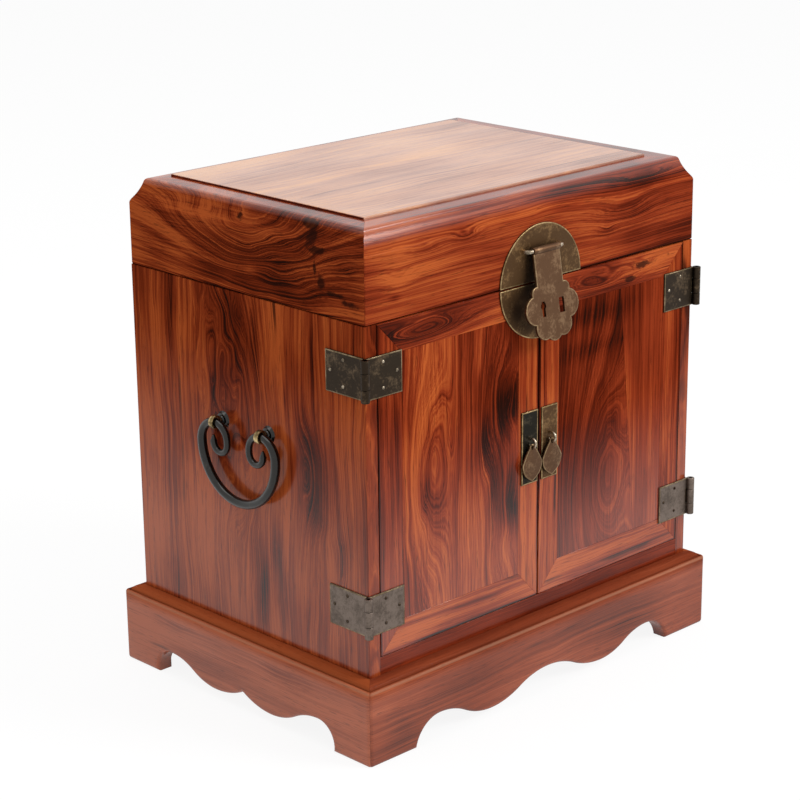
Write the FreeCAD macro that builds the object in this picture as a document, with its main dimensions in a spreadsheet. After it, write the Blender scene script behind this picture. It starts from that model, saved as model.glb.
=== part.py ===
import FreeCAD
import Part
import math
import os
import re
from types import SimpleNamespace

# Seal chest: a case with two doors and three drawers on a cusped base, under a moulded lid.
# Millimetres. Z is up, the doors face -Y, the origin is under the middle of the base.

SIZES = {
    # case
    "case_width": 326.0,
    "case_depth": 238.0,
    "rim_height": 299.0,
    "side_thickness": 10.0,
    "back_thickness": 9.0,
    "bottom_thickness": 8.5,
    "bottom_rail_height": 12.5,
    "edge_setback": 0.3,
    "case_edge_round": 1.5,
    # base
    "base_height": 57.5,
    "base_overhang": 11.5,
    "apron_thickness": 12.0,
    "ledge_width": 22.0,
    "ledge_height": 12.0,
    "base_edge_round": 1.5,
    "bead_rise": 3.5,
    "bead_reach": 9.0,
    "bead_groove_inset": 2.4,
    "bead_groove_width": 1.0,
    "bead_groove_depth": 0.8,
    "base_corner_round": 3.5,
    "foot_round": 2.5,
    "front_foot": 44.0,
    "front_arch_run": 22.5,
    "front_arch_height": 18.5,
    "front_lobe_reach": 50.5,
    "front_lobe_height": 5.0,
    "front_crest_height": 18.5,
    "side_foot": 37.0,
    "side_arch_run": 15.0,
    "side_arch_height": 18.7,
    "side_lobe_reach": 49.0,
    "side_lobe_height": 5.7,
    "side_cusp_height": 13.5,
    # doors
    "door_thickness": 12.5,
    "door_side_gap": 0.8,
    "door_end_gap": 0.6,
    "door_meeting_gap": 1.6,
    "hinge_stile_width": 21.0,
    "meeting_stile_width": 19.5,
    "door_top_rail": 21.5,
    "door_bottom_rail": 21.0,
    "panel_thickness": 9.0,
    # door hinges
    "leaf_thickness": 1.2,
    "door_pin_offset": 2.5,
    "door_pin_radius": 1.4,
    "door_knuckle_radius": 2.9,
    "door_hinge_height": 28.3,
    "door_end_knuckle": 8.6,
    "case_leaf_reach": 36.5,
    "door_leaf_reach": 31.5,
    "upper_hinge_drop": 20.5,
    "lower_hinge_rise": 30.4,
    "knuckle_gap": 0.2,
    "leaf_relief": 0.6,
    "pin_clearance": 0.05,
    # lid hinges
    "lid_pin_offset": 3.1,
    "lid_pin_radius": 1.4,
    "lid_knuckle_radius": 2.9,
    "lid_hinge_height": 36.0,
    "lid_end_knuckle": 11.0,
    "lid_leaf_reach": 26.0,
    "lid_hinge_distance": 180.0,
    # lid
    "seam_gap": 0.6,
    "lid_height": 60.4,
    "lid_wall": 11.0,
    "lid_wall_rise": 43.0,
    "cove_start_inset": 0.75,
    "cove_start_rise": 2.0,
    "cove_end_inset": 8.1,
    "cove_end_drop": 2.1,
    "moulding_inset": 11.0,
    "lid_margin": 18.0,
    "lid_frame_thickness": 9.5,
    "lid_rebate_depth": 5.0,
    "lid_rebate_width": 5.0,
    "field_rise": 1.5,
    "field_round": 0.9,
    "field_side_lap": 3.9,
    "field_front_lap": 3.0,
    "field_back_lap": 11.7,
    # lock
    "plate_thickness": 1.2,
    "lock_radius": 40.0,
    "bar_rise": 23.0,
    "bar_radius": 1.5,
    "bar_length": 38.0,
    "bar_standoff": 3.8,
    "bar_bend": 2.6,
    "hasp_clearance": 0.15,
    "hasp_thickness": 1.7,
    "hasp_width": 26.0,
    "hasp_tilt": 9.0,
    "hasp_shoulder": 25.0,
    "shoulder_lobe_radius": 5.0,
    "shoulder_lobe_out": 13.5,
    "shoulder_lobe_down": 29.0,
    "side_lobe_radius": 10.0,
    "side_lobe_out": 16.0,
    "side_lobe_down": 40.0,
    "lower_lobe_radius": 8.5,
    "lower_lobe_out": 9.0,
    "lower_lobe_down": 52.5,
    "end_lobe_radius": 8.0,
    "end_lobe_down": 55.0,
    "slot_width": 5.0,
    "slot_height": 10.5,
    "slot_out": 9.0,
    "slot_down": 40.0,
    "keyhole_radius": 3.2,
    # door pulls
    "pull_plate_width": 16.0,
    "pull_plate_height": 52.5,
    "pull_plate_drop": 90.5,
    "pull_plate_inset": 1.2,
    "pull_ring_drop": 113.0,
    "ring_radius": 3.2,
    "ring_wire": 0.9,
    "ring_standoff": 2.2,
    "ring_root": 0.6,
    "drop_clearance": 0.45,
    "drop_thickness": 1.6,
    "drop_rim": 1.3,
    "drop_width": 19.5,
    "drop_length": 27.0,
    # side handles
    "handle_distance": 47.0,
    "handle_drop": 93.0,
    "handle_standoff": 7.4,
    "boss_radius": 6.2,
    "boss_height": 2.0,
    "boss_slope": 1.2,
    "neck_radius": 2.6,
    "eye_radius": 4.8,
    "eye_width": 4.0,
    "eye_clearance": 0.35,
    "bail_eye_radius": 2.8,
    "bail_grip_radius": 3.3,
    "bail_curl_radius": 2.4,
    "bail_tip_radius": 1.1,
    "bail_bow": 38.2,
    "curl_drop": 12.2,
    "curl_run": 1.5,
    "curl_bow": 7.2,
    "curl_tip": 3.2,
    # inside
    "tray_floor_thickness": 6.0,
    "tray_front_thickness": 8.0,
    "tray_front_gap": 2.0,
    "shelf_thickness": 6.0,
    "lower_drawer_space": 54.0,
    "middle_drawer_space": 52.0,
    "upper_drawer_space": 52.0,
    "drawer_recess": 16.5,
    "drawer_front_thickness": 10.0,
    "drawer_wall": 6.0,
    "drawer_floor": 5.0,
    "drawer_side_gap": 0.5,
    "drawer_foot_gap": 0.3,
    "drawer_top_gap": 0.9,
    "drawer_back_gap": 6.0,
    "drawer_pull_rise": 6.0,
    "drawer_drop_width": 13.0,
    "drawer_drop_length": 18.0,
    "rosette_radius": 6.0,
}

LEFT, RIGHT = -1, 1
X = FreeCAD.Vector(1, 0, 0)
Y = FreeCAD.Vector(0, 1, 0)
Z = FreeCAD.Vector(0, 0, 1)
ALONG = {"x": FreeCAD.Rotation(Y, 90), "y": FreeCAD.Rotation(X, -90), "z": FreeCAD.Rotation()}

doc = FreeCAD.newDocument("seal_chest")
sheet = doc.addObject("Spreadsheet::Sheet", "sizes")
for row, (alias, number) in enumerate(SIZES.items(), start=1):
    sheet.set(f"A{row}", alias)
    sheet.set(f"B{row}", str(number))
    sheet.setAlias(f"B{row}", alias)
doc.recompute()
size = SimpleNamespace(**{alias: float(sheet.get(alias)) for alias in SIZES})
nodes = []

# Places that several pieces share, as formulas on the sheet.
FRONT = "(-case_depth / 2)"
BACK = "(case_depth / 2)"
DOOR_BACK = "(-case_depth / 2 + door_thickness)"
INNER_BACK = "(case_depth / 2 - back_thickness)"
INNER_HALF = "(case_width / 2 - side_thickness)"
DRAWER_FACE = "(-case_depth / 2 + door_thickness + drawer_recess)"
CASE_FLOOR = "(base_height + bottom_rail_height)"
LID_FOOT = "(rim_height + seam_gap)"
BAR_HEIGHT = "(rim_height + bar_rise)"
BAR_FRONT = "(-case_depth / 2 - plate_thickness - bar_standoff)"
TRAY_FRONT = "(-case_depth / 2 + door_thickness + tray_front_gap)"


def bound(text):
    """Return a formula with the sheet's name before each of its sizes."""
    return re.sub(r"[a-z_]+", lambda word: f"sizes.{word[0]}" if word[0] in SIZES else word[0], text)


def node(made, label):
    """Keep an object as a sub-part under its own label."""
    made.Label = label
    nodes.append(made)
    return made


def place(made, spot, turn=None):
    """Put an object at three formulas, turned first where a turn is given."""
    if turn is not None:
        made.Placement = FreeCAD.Placement(FreeCAD.Vector(), turn)
    for axis, formula in zip("xyz", spot):
        made.setExpression(f"Placement.Base.{axis}", bound(formula))
    return made


def sided(side, near, far):
    """Return the low and high formula of a stretch that lies on one side of the middle."""
    if side == RIGHT:
        return near, far
    return f"-({far})", f"-({near})"


def block(name, x, y, z):
    """Make a block from a low and a high formula along each axis."""
    made = doc.addObject("Part::Box", name)
    for prop, (low, high) in zip(("Length", "Width", "Height"), (x, y, z)):
        made.setExpression(prop, bound(f"({high}) - ({low})"))
    return place(made, (x[0], y[0], z[0]))


def bar(name, radius, start, length, axis):
    """Make a round bar from a start point along an axis."""
    made = doc.addObject("Part::Cylinder", name)
    made.setExpression("Radius", bound(radius))
    made.setExpression("Height", bound(length))
    return place(made, start, ALONG[axis])


def joined(name, pieces):
    """Join pieces into one."""
    made = doc.addObject("Part::MultiFuse", name)
    made.Shapes = pieces
    made.Refine = True
    return made


def less(name, base, tool):
    """Cut a tool out of a base."""
    made = doc.addObject("Part::Cut", name)
    made.Base = base
    made.Tool = tool
    return made


def gathered(name, pieces):
    """Keep separate solids together as one sub-part."""
    made = doc.addObject("Part::Compound", name)
    made.Links = pieces
    return made


def softened(name, base, radius, chosen):
    """Round the edges of a base that a test chooses by their middle point."""
    doc.recompute()
    made = doc.addObject("Part::Fillet", name)
    made.Base = base
    edges = enumerate(base.Shape.Edges, start=1)
    made.Edges = [(index, radius, radius) for index, edge in edges if chosen(edge.CenterOfMass)]
    return made


def profile(body, name, plane, start, steps, lift="0"):
    """Draw a closed outline in one of a body's own planes.

    A step is the end of a straight stretch, or the middle and the end of an arc.
    """
    sketch = body.newObject("Sketcher::SketchObject", name)
    support = next(item for item in body.Origin.OriginFeatures if item.Role == plane)
    sketch.AttachmentSupport = (support, [""])
    sketch.MapMode = "FlatFace"
    sketch.setExpression("AttachmentOffset.Base.z", bound(lift))
    here = FreeCAD.Vector(*start)
    for step in steps + [start]:
        if isinstance(step[0], tuple):
            end = FreeCAD.Vector(*step[1])
            sketch.addGeometry(Part.Arc(here, FreeCAD.Vector(*step[0]), end))
        else:
            end = FreeCAD.Vector(*step)
            if end.distanceToPoint(here) > 1e-6:
                sketch.addGeometry(Part.LineSegment(here, end))
        here = end
    return sketch


def pad(body, sketch, length, both_ways=False):
    """Raise an outline into a solid."""
    made = body.newObject("PartDesign::Pad", f"{sketch.Name}_pad")
    made.Profile = sketch
    made.setExpression("Length", bound(length))
    if both_ways:
        made.SideType = "Symmetric"
    doc.recompute()
    return made


def pocket(body, sketch):
    """Cut an outline right through a body, both ways from its plane."""
    before = body.Shape.Volume
    made = body.newObject("PartDesign::Pocket", f"{sketch.Name}_pocket")
    made.Profile = sketch
    made.SideType = "Symmetric"
    made.setExpression("Length", bound("2 * (case_width + case_depth)"))
    doc.recompute()
    if body.Shape.Volume >= before:
        raise ValueError(f"{sketch.Name} cuts nothing")
    return made


def arc_on(start, heading, end):
    """Return the step of an arc that leaves a start at a heading in degrees, and its last heading."""
    run, rise = end[0] - start[0], end[1] - start[1]
    chord = math.hypot(run, rise)
    slant = math.atan2(rise, run)
    half_turn = slant - math.radians(heading)
    sag = chord / 2 * math.tan(half_turn / 2)
    middle = (start[0] + run / 2 + sag * math.sin(slant), start[1] + rise / 2 - sag * math.cos(slant))
    return (middle, end), math.degrees(slant + half_turn)


def mirrored(start, steps):
    """Return the steps that lead on through an outline's mirror image about its last point's upright."""
    axis = steps[-1][1][0] if isinstance(steps[-1][0], tuple) else steps[-1][0]
    ends = [start] + [step[1] if isinstance(step[0], tuple) else step for step in steps]
    back = []
    for step, end in zip(reversed(steps), reversed(ends[:-1])):
        flipped = (2 * axis - end[0], end[1])
        if isinstance(step[0], tuple):
            back.append(((2 * axis - step[0][0], step[0][1]), flipped))
        else:
            back.append(flipped)
    return back


def quarter(centre, radius, first, last):
    """Return the step of an arc about a centre, from one angle in degrees to another."""
    points = []
    for angle in ((first + last) / 2, last):
        turn = math.radians(angle)
        points.append((centre[0] + radius * math.cos(turn), centre[1] + radius * math.sin(turn)))
    return tuple(points)


def wave(start, end):
    """Return the two arcs of a curve that leaves its start level and reaches its end level."""
    middle = ((start[0] + end[0]) / 2, (start[1] + end[1]) / 2)
    first, heading = arc_on(start, 0, middle)
    return [first, arc_on(middle, heading, end)[0]]


def mitre(body, name, half, width, round_by=0.0):
    """Cut both ends of a board at 45 degrees, with the outer corner rounded."""
    over = 2.0
    tip = round_by * (1 - math.sqrt(0.5))
    for side in (LEFT, RIGHT):
        start = (side * (half - round_by), 0.0)
        swing = (-90, -45) if side == RIGHT else (-90, -135)
        steps = [quarter((start[0], round_by), round_by, *swing)] if round_by else []
        steps += [(side * (half - tip), tip), (side * (half - width - over), width + over)]
        steps += [(side * (half + over), width + over), (side * (half + over), -over), (start[0], -over)]
        pocket(body, profile(body, f"{name}_mitre_{side + 1}", "XY_Plane", start, steps))


def apron(label, run, edge, spot, turn):
    """Make one apron of the base: moulded section, mitred ends and a cusped lower edge."""
    body = doc.addObject("PartDesign::Body", label)
    top, shelf = size.base_height, size.base_height - size.bead_rise
    floor = shelf - size.bead_groove_depth
    bead_foot = (size.bead_groove_inset + size.bead_groove_width, floor)
    steps = [
        (size.apron_thickness, 0.0),
        (size.apron_thickness, top - size.ledge_height),
        (size.ledge_width, top - size.ledge_height),
        (size.ledge_width, top),
        (size.bead_reach, top),
        arc_on((size.bead_reach, top), 180, bead_foot)[0],
        (size.bead_groove_inset, floor),
        (size.bead_groove_inset, shelf),
        (size.base_edge_round, shelf),
        quarter((size.base_edge_round, shelf - size.base_edge_round), size.base_edge_round, 90, 180),
        (0.0, size.foot_round),
        quarter((size.foot_round, size.foot_round), size.foot_round, 180, 270),
    ]
    pad(body, profile(body, f"{label}_section", "YZ_Plane", (size.foot_round, 0.0), steps), run, True)
    half = body.Shape.BoundBox.XMax
    mitre(body, label, half, size.ledge_width, size.base_corner_round)
    start, steps = edge(half)
    pocket(body, profile(body, f"{label}_edge", "XZ_Plane", start, steps))
    return node(place(body, spot, turn), label)


def front_edge(half):
    """Return the wavy lower edge of the front and back aprons, with a soft crest in the middle."""
    foot = (size.front_foot - half, 0.0)
    crown = (foot[0] + size.front_arch_run, size.front_arch_height)
    lobe = (crown[0] + size.front_lobe_reach, size.front_lobe_height)
    crest = (0.0, size.front_crest_height)
    return open_edge(foot, crown, wave(crown, lobe) + wave(lobe, crest))


def side_edge(half):
    """Return the lower edge of the side aprons, with a sharp cusp in the middle."""
    foot = (size.side_foot - half, 0.0)
    crown = (foot[0] + size.side_arch_run, size.side_arch_height)
    lobe = (crown[0] + size.side_lobe_reach, size.side_lobe_height)
    cusp = arc_on(lobe, 0, (0.0, size.side_cusp_height))[0]
    return open_edge(foot, crown, wave(crown, lobe) + [cusp])


def open_edge(foot, crown, steps):
    """Lead an edge from under one foot over its arches to the mirrored foot."""
    below = 5.0
    start = (foot[0], -below)
    rise = arc_on(foot, 2 * math.degrees(math.atan2(crown[1], crown[0] - foot[0])), crown)[0]
    half = [foot, rise] + steps
    return start, half + mirrored(start, half)


def base():
    """Make the four aprons."""
    front_run = "case_width + 2 * base_overhang"
    side_run = "case_depth + 2 * base_overhang"
    half_width, half_depth = "case_width / 2 + base_overhang", "case_depth / 2 + base_overhang"
    apron("front_apron", front_run, front_edge, ("0", f"-({half_depth})", "0"), FreeCAD.Rotation())
    apron("back_apron", front_run, front_edge, ("0", half_depth, "0"), FreeCAD.Rotation(Z, 180))
    apron("left_apron", side_run, side_edge, (f"-({half_width})", "0", "0"), FreeCAD.Rotation(Z, -90))
    apron("right_apron", side_run, side_edge, (half_width, "0", "0"), FreeCAD.Rotation(Z, 90))


def case():
    """Make the case's boards, the tray and the drawer shelves."""
    for side, word in ((LEFT, "left"), (RIGHT, "right")):
        x = sided(side, INNER_HALF, "case_width / 2")
        plain = block(f"{word}_side_plain", x, (f"{FRONT} + edge_setback", BACK), ("base_height", "rim_height"))
        outer = side * size.case_width / 2
        corner = softened(f"{word}_side_board", plain, size.case_edge_round,
                          lambda at, outer=outer: abs(at.x - outer) < 0.01 and abs(at.y) > size.case_depth / 2 - 1)
        node(corner, f"{word}_side_board")
    across = (f"-{INNER_HALF}", INNER_HALF)
    node(block("back_board", across, (INNER_BACK, BACK), ("base_height", "rim_height")), "back_board")
    panel = (f"{CASE_FLOOR} - bottom_thickness", CASE_FLOOR)
    node(block("bottom_board", across, (DOOR_BACK, INNER_BACK), panel), "bottom_board")
    rail = ("base_height", CASE_FLOOR)
    node(block("bottom_rail", across, (f"{FRONT} + edge_setback", DOOR_BACK), rail), "bottom_rail")
    lower = f"{CASE_FLOOR} + lower_drawer_space"
    middle = f"{lower} + shelf_thickness + middle_drawer_space"
    tray = f"{middle} + shelf_thickness + upper_drawer_space"
    for name, foot in (("lower_shelf", lower), ("upper_shelf", middle)):
        node(block(name, across, (DRAWER_FACE, INNER_BACK), (foot, f"{foot} + shelf_thickness")), name)
    floor_top = f"{tray} + tray_floor_thickness"
    node(block("tray_floor", across, (TRAY_FRONT, INNER_BACK), (tray, floor_top)), "tray_floor")
    wall = (TRAY_FRONT, f"{TRAY_FRONT} + tray_front_thickness")
    node(block("tray_front_board", across, wall, (floor_top, "rim_height - door_end_gap")), "tray_front_board")
    drawer("lower", CASE_FLOOR, "lower_drawer_space")
    drawer("middle", f"{lower} + shelf_thickness", "middle_drawer_space")
    drawer("upper", f"{middle} + shelf_thickness", "upper_drawer_space")


def drawer(word, foot, space):
    """Make one drawer: front, box and a hanging pull."""
    label = f"{word}_drawer"
    x = (f"-({INNER_HALF} - drawer_side_gap)", f"{INNER_HALF} - drawer_side_gap")
    z = (f"{foot} + drawer_foot_gap", f"{foot} + {space} - drawer_top_gap")
    behind = f"{DRAWER_FACE} + drawer_front_thickness"
    node(block(f"{label}_front", x, (DRAWER_FACE, behind), z), f"{label}_front")
    end = f"{INNER_BACK} - drawer_back_gap"
    outer = block(f"{label}_outer", x, (behind, end), z)
    inner = block(f"{label}_inner", (f"{x[0]} + drawer_wall", f"{x[1]} - drawer_wall"),
                  (behind, f"{end} - drawer_wall"), (f"{z[0]} + drawer_floor", z[1]))
    node(less(f"{label}_box", outer, inner), f"{label}_box")
    height = f"{foot} + {space} / 2 + drawer_pull_rise"
    rosette = bar(f"{label}_rosette", "rosette_radius", ("0", f"{DRAWER_FACE} - plate_thickness", height),
                  "plate_thickness", "y")
    ring = ring_staple(label, "0", f"{DRAWER_FACE} - plate_thickness", f"({height})", "ring_root")
    node(joined(f"{label}_staple", [rosette, ring]), f"{label}_staple")
    pull_drop(f"{label}_drop", ("0", f"{DRAWER_FACE} - plate_thickness - ring_standoff", height),
              size.drawer_drop_width, size.drawer_drop_length)


def ring_staple(label, x, face, z, root):
    """Make the part of a wire ring that stands out of a face, with its ends let in to a root depth."""
    ring = doc.addObject("Part::Torus", f"{label}_wire")
    ring.setExpression("Radius1", bound("ring_radius"))
    ring.setExpression("Radius2", bound("ring_wire"))
    place(ring, (x, f"{face} - ring_standoff", z), ALONG["x"])
    reach = "2 * (ring_radius + ring_wire)"
    behind = block(f"{label}_behind", (f"{x} - {reach}", f"{x} + {reach}"),
                   (f"{face} + {root}", f"{face} + {root} + {reach}"), (f"{z} - {reach}", f"{z} + {reach}"))
    return less(f"{label}_pull_staple", ring, behind)


def pull_drop(label, spot, width, length):
    """Make a peach-shaped drop that hangs on a ring; its own origin is the ring's middle."""
    body = doc.addObject("PartDesign::Body", label)
    hole = size.ring_wire + size.drop_clearance
    top = hole + size.drop_rim - size.ring_radius
    foot = top - length
    neck = (-(hole + size.drop_rim), top - size.drop_rim - hole)
    belly = (-width / 2, top - 0.52 * length)
    flank = (-0.36 * width, top - 0.82 * length)
    start = (0.0, top)
    half = [arc_on(start, 180, neck)[0]]
    half.append(arc_on(neck, 230, belly)[0])
    half.append(arc_on(belly, 270, flank)[0])
    half.append(arc_on(flank, 315, (0.0, foot))[0])
    outline = profile(body, f"{label}_outline", "XZ_Plane", start, half + mirrored(start, half))
    pad(body, outline, "drop_thickness", True)
    rim = (hole, -size.ring_radius)
    circle = [quarter((0.0, rim[1]), hole, 0, 180), quarter((0.0, rim[1]), hole, 180, 360)]
    pocket(body, profile(body, f"{label}_hole", "XZ_Plane", rim, circle))
    return node(place(body, spot), label)


def door(side, word):
    """Make one door: mitred frame, flush panel, hinge leaves and pull."""
    hinge = side * (size.case_width / 2 - size.side_thickness - size.door_side_gap)
    meet = side * size.door_meeting_gap / 2
    foot = size.base_height + size.bottom_rail_height + size.door_end_gap
    head = size.rim_height - size.door_end_gap
    hinge_in, meet_in = hinge - side * size.hinge_stile_width, meet + side * size.meeting_stile_width
    foot_in, head_in = foot + size.door_bottom_rail, head - size.door_top_rail
    outer = [(hinge, foot), (meet, foot), (meet, head), (hinge, head)]
    inner = [(hinge_in, foot_in), (meet_in, foot_in), (meet_in, head_in), (hinge_in, head_in)]
    for index, member in enumerate(("bottom_rail", "meeting_stile", "top_rail", "hinge_stile")):
        after = (index + 1) % 4
        corners = [outer[after], inner[after], inner[index]]
        plank(f"{word}_door_{member}", outer[index], corners, "door_thickness")
    plank(f"{word}_door_panel", inner[0], inner[1:], "panel_thickness")
    pull(side, f"{word}_door")


def plank(label, start, steps, thickness):
    """Make a flat piece of a door from its outline; its face is the door's face."""
    body = doc.addObject("PartDesign::Body", label)
    outline = profile(body, f"{label}_outline", "XZ_Plane", start, steps, f"case_depth / 2 - {thickness}")
    pad(body, outline, thickness)
    return node(body, label)


def pull(side, label):
    """Make a door's pull: back plate, ring staple and drop."""
    near = "door_meeting_gap / 2 + pull_plate_inset"
    x = sided(side, near, f"{near} + pull_plate_width")
    top = "rim_height - pull_plate_drop"
    face = f"{FRONT} - plate_thickness"
    plate = block(f"{label}_pull_plate", x, (face, FRONT), (f"{top} - pull_plate_height", top))
    node(plate, f"{label}_pull_plate")
    middle = f"({x[0]} + pull_plate_width / 2)"
    height = "(rim_height - pull_ring_drop)"
    node(ring_staple(label, middle, face, height, "0"), f"{label}_pull_staple")
    pull_drop(f"{label}_drop", (middle, f"{face} - ring_standoff", height), size.drop_width, size.drop_length)


def hinge_leaf(name, kind, reach, knuckles, spot, turn):
    """Make a hinge leaf; its own Z is the pin, its plate runs along Y and rests on the wood on +X."""
    offset, radius, height = f"{kind}_pin_offset", f"{kind}_knuckle_radius", f"{kind}_hinge_height"
    start = f"({radius} + leaf_relief)"
    x = (f"{offset} - leaf_thickness", offset)
    pieces = [block(f"{name}_plate", x, (start, f"{offset} + {reach}"), ("0", height))]
    for index, (low, high) in enumerate(knuckles):
        pieces.append(block(f"{name}_tongue_{index}", x, ("0", start), (low, high)))
        pieces.append(bar(f"{name}_knuckle_{index}", radius, ("0", "0", low), f"({high}) - ({low})", "z"))
    bore = bar(f"{name}_bore", f"{kind}_pin_radius + pin_clearance", ("0", "0", "-1"), f"{height} + 2", "z")
    return place(less(name, joined(f"{name}_blank", pieces), bore), spot, turn)


def knuckle_spans(kind):
    """Return the knuckles of a hinge's two leaves: the middle one, and the pair at the ends."""
    height, end = f"{kind}_hinge_height", f"{kind}_end_knuckle"
    middle = [(f"{end} + knuckle_gap", f"{height} - {end} - knuckle_gap")]
    return middle, [("0", end), (f"{height} - {end}", height)]


def door_hinges():
    """Make the four corner hinges: leaves on the case, leaves on the doors, and the pins."""
    middle, ends = knuckle_spans("door")
    out_y = f"{FRONT} - door_pin_offset"
    on_case, pins = [], []
    for side, word in ((LEFT, "left"), (RIGHT, "right")):
        out_x = f"{side} * (case_width / 2 + door_pin_offset)"
        case_turn = FreeCAD.Rotation() if side == LEFT else FreeCAD.Rotation(Y, 180)
        door_turn = FreeCAD.Rotation(FreeCAD.Vector(1, 1, 0), 180) if side == LEFT else FreeCAD.Rotation(Z, 90)
        on_door = []
        upper_foot = "rim_height - upper_hinge_drop - door_hinge_height"
        for level, foot in (("upper", upper_foot), ("lower", "base_height + lower_hinge_rise")):
            top = f"{foot} + door_hinge_height"
            name = f"{word}_{level}"
            on_case.append(hinge_leaf(f"{name}_case_leaf", "door", "case_leaf_reach", middle,
                                      (out_x, out_y, foot if side == LEFT else top), case_turn))
            on_door.append(hinge_leaf(f"{name}_door_leaf", "door", "door_leaf_reach", ends,
                                      (out_x, out_y, top if side == LEFT else foot), door_turn))
            pins.append(bar(f"{name}_pin", "door_pin_radius", (out_x, out_y, foot), "door_hinge_height", "z"))
        node(gathered(f"{word}_door_leaves", on_door), f"{word}_door_leaves")
    node(gathered("case_leaves", on_case), "case_leaves")
    return pins


def lid_hinges():
    """Make the two hinges on the back: leaves on the case, leaves on the lid, and the pins."""
    middle, ends = knuckle_spans("lid")
    level = "rim_height + seam_gap / 2"
    out_y = f"{BACK} + lid_pin_offset"
    down = FreeCAD.Rotation(-Y, -Z, X, "XYZ")
    up = FreeCAD.Rotation(-Y, Z, -X, "XYZ")
    on_case, on_lid, pins = [], [], []
    for side, word in ((LEFT, "left"), (RIGHT, "right")):
        low = f"{side} * lid_hinge_distance / 2 - lid_hinge_height / 2"
        high = f"{side} * lid_hinge_distance / 2 + lid_hinge_height / 2"
        on_case.append(hinge_leaf(f"{word}_rear_leaf", "lid", "lid_leaf_reach", middle, (low, out_y, level), down))
        on_lid.append(hinge_leaf(f"{word}_lid_leaf", "lid", "lid_leaf_reach", ends, (high, out_y, level), up))
        pins.append(bar(f"{word}_lid_pin", "lid_pin_radius", (low, out_y, level), "lid_hinge_height", "x"))
    node(gathered("rear_leaves", on_case), "rear_leaves")
    node(gathered("lid_leaves", on_lid), "lid_leaves")
    return pins


def lid_board(label, run, spot, turn):
    """Make one side of the lid: wall, coved moulding and rebated top frame in one section."""
    body = doc.addObject("PartDesign::Body", label)
    top = size.lid_height
    inner = size.moulding_inset + size.lid_margin
    sill = top - size.lid_rebate_depth
    edge = (0.0, size.lid_wall_rise)
    cove_foot = (size.cove_start_inset, size.lid_wall_rise + size.cove_start_rise)
    cove_head = (size.cove_end_inset, top - size.cove_end_drop)
    crown = (size.moulding_inset, top)
    nose, heading = arc_on(edge, 90, cove_foot)
    cove = arc_on(cove_foot, heading, cove_head)[0]
    rise, run_in = crown[1] - cove_head[1], crown[0] - cove_head[0]
    shoulder = arc_on(cove_head, 2 * math.degrees(math.atan2(rise, run_in)), crown)[0]
    steps = [edge, nose, cove, shoulder, (inner, top), (inner, sill), (inner + size.lid_rebate_width, sill)]
    steps.append((inner + size.lid_rebate_width, top - size.lid_frame_thickness))
    steps += [(size.lid_wall, top - size.lid_frame_thickness), (size.lid_wall, 0.0)]
    pad(body, profile(body, f"{label}_section", "YZ_Plane", (0.0, 0.0), steps), run, True)
    mitre(body, label, body.Shape.BoundBox.XMax, inner + size.lid_rebate_width)
    return node(place(body, spot, turn), label)


def lid():
    """Make the lid's four boards, its raised panel, and the upper half of the lock plate."""
    lid_board("lid_front_board", "case_width", ("0", FRONT, LID_FOOT), FreeCAD.Rotation())
    lid_board("lid_back_board", "case_width", ("0", BACK, LID_FOOT), FreeCAD.Rotation(Z, 180))
    lid_board("lid_left_board", "case_depth", ("-case_width / 2", "0", LID_FOOT), FreeCAD.Rotation(Z, -90))
    lid_board("lid_right_board", "case_depth", ("case_width / 2", "0", LID_FOOT), FreeCAD.Rotation(Z, 90))
    x = "(case_width / 2 - moulding_inset - lid_margin)"
    y = "(case_depth / 2 - moulding_inset - lid_margin)"
    crown = f"{LID_FOOT} + lid_height"
    tongue = block("lid_panel_tongue", (f"-{x}", x), (f"-{y}", y), (f"{crown} - lid_rebate_depth", crown))
    across = (f"-{x} - field_side_lap", f"{x} + field_side_lap")
    along = (f"-{y} - field_front_lap", f"{y} + field_back_lap")
    field = block("lid_panel_field", across, along, (crown, f"{crown} + field_rise"))
    plain = joined("lid_panel_plain", [tongue, field])
    doc.recompute()
    crest = plain.Shape.BoundBox.ZMax
    panel = softened("lid_top_panel", plain, size.field_round, lambda at: abs(at.z - crest) < 0.01)
    node(panel, "lid_top_panel")


def lock():
    """Make the lock's plates, its bar and the hasp with its cloud-shaped end."""
    radius = size.lock_radius
    body = doc.addObject("PartDesign::Body", "lid_plate")
    foot = size.rim_height + size.seam_gap
    reach = math.sqrt(radius ** 2 - size.seam_gap ** 2)
    steps = [((0.0, size.rim_height + radius), (-reach, foot))]
    pad(body, profile(body, "lid_plate_outline", "XZ_Plane", (reach, foot), steps, "case_depth / 2"), "plate_thickness")
    node(body, "lid_plate")
    body = doc.addObject("PartDesign::Body", "left_door_plate")
    head, edge = size.rim_height - size.door_end_gap, -size.door_meeting_gap / 2
    low = (edge, size.rim_height - math.sqrt(radius ** 2 - edge ** 2))
    end = (-math.sqrt(radius ** 2 - size.door_end_gap ** 2), head)
    bulge = (-radius * math.sqrt(0.5), size.rim_height - radius * math.sqrt(0.5))
    outline = profile(body, "left_door_plate_outline", "XZ_Plane", low, [(bulge, end), (edge, head)], "case_depth / 2")
    pad(body, outline, "plate_thickness")
    node(body, "left_door_plate")
    hasp_bar()
    hasp()


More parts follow.
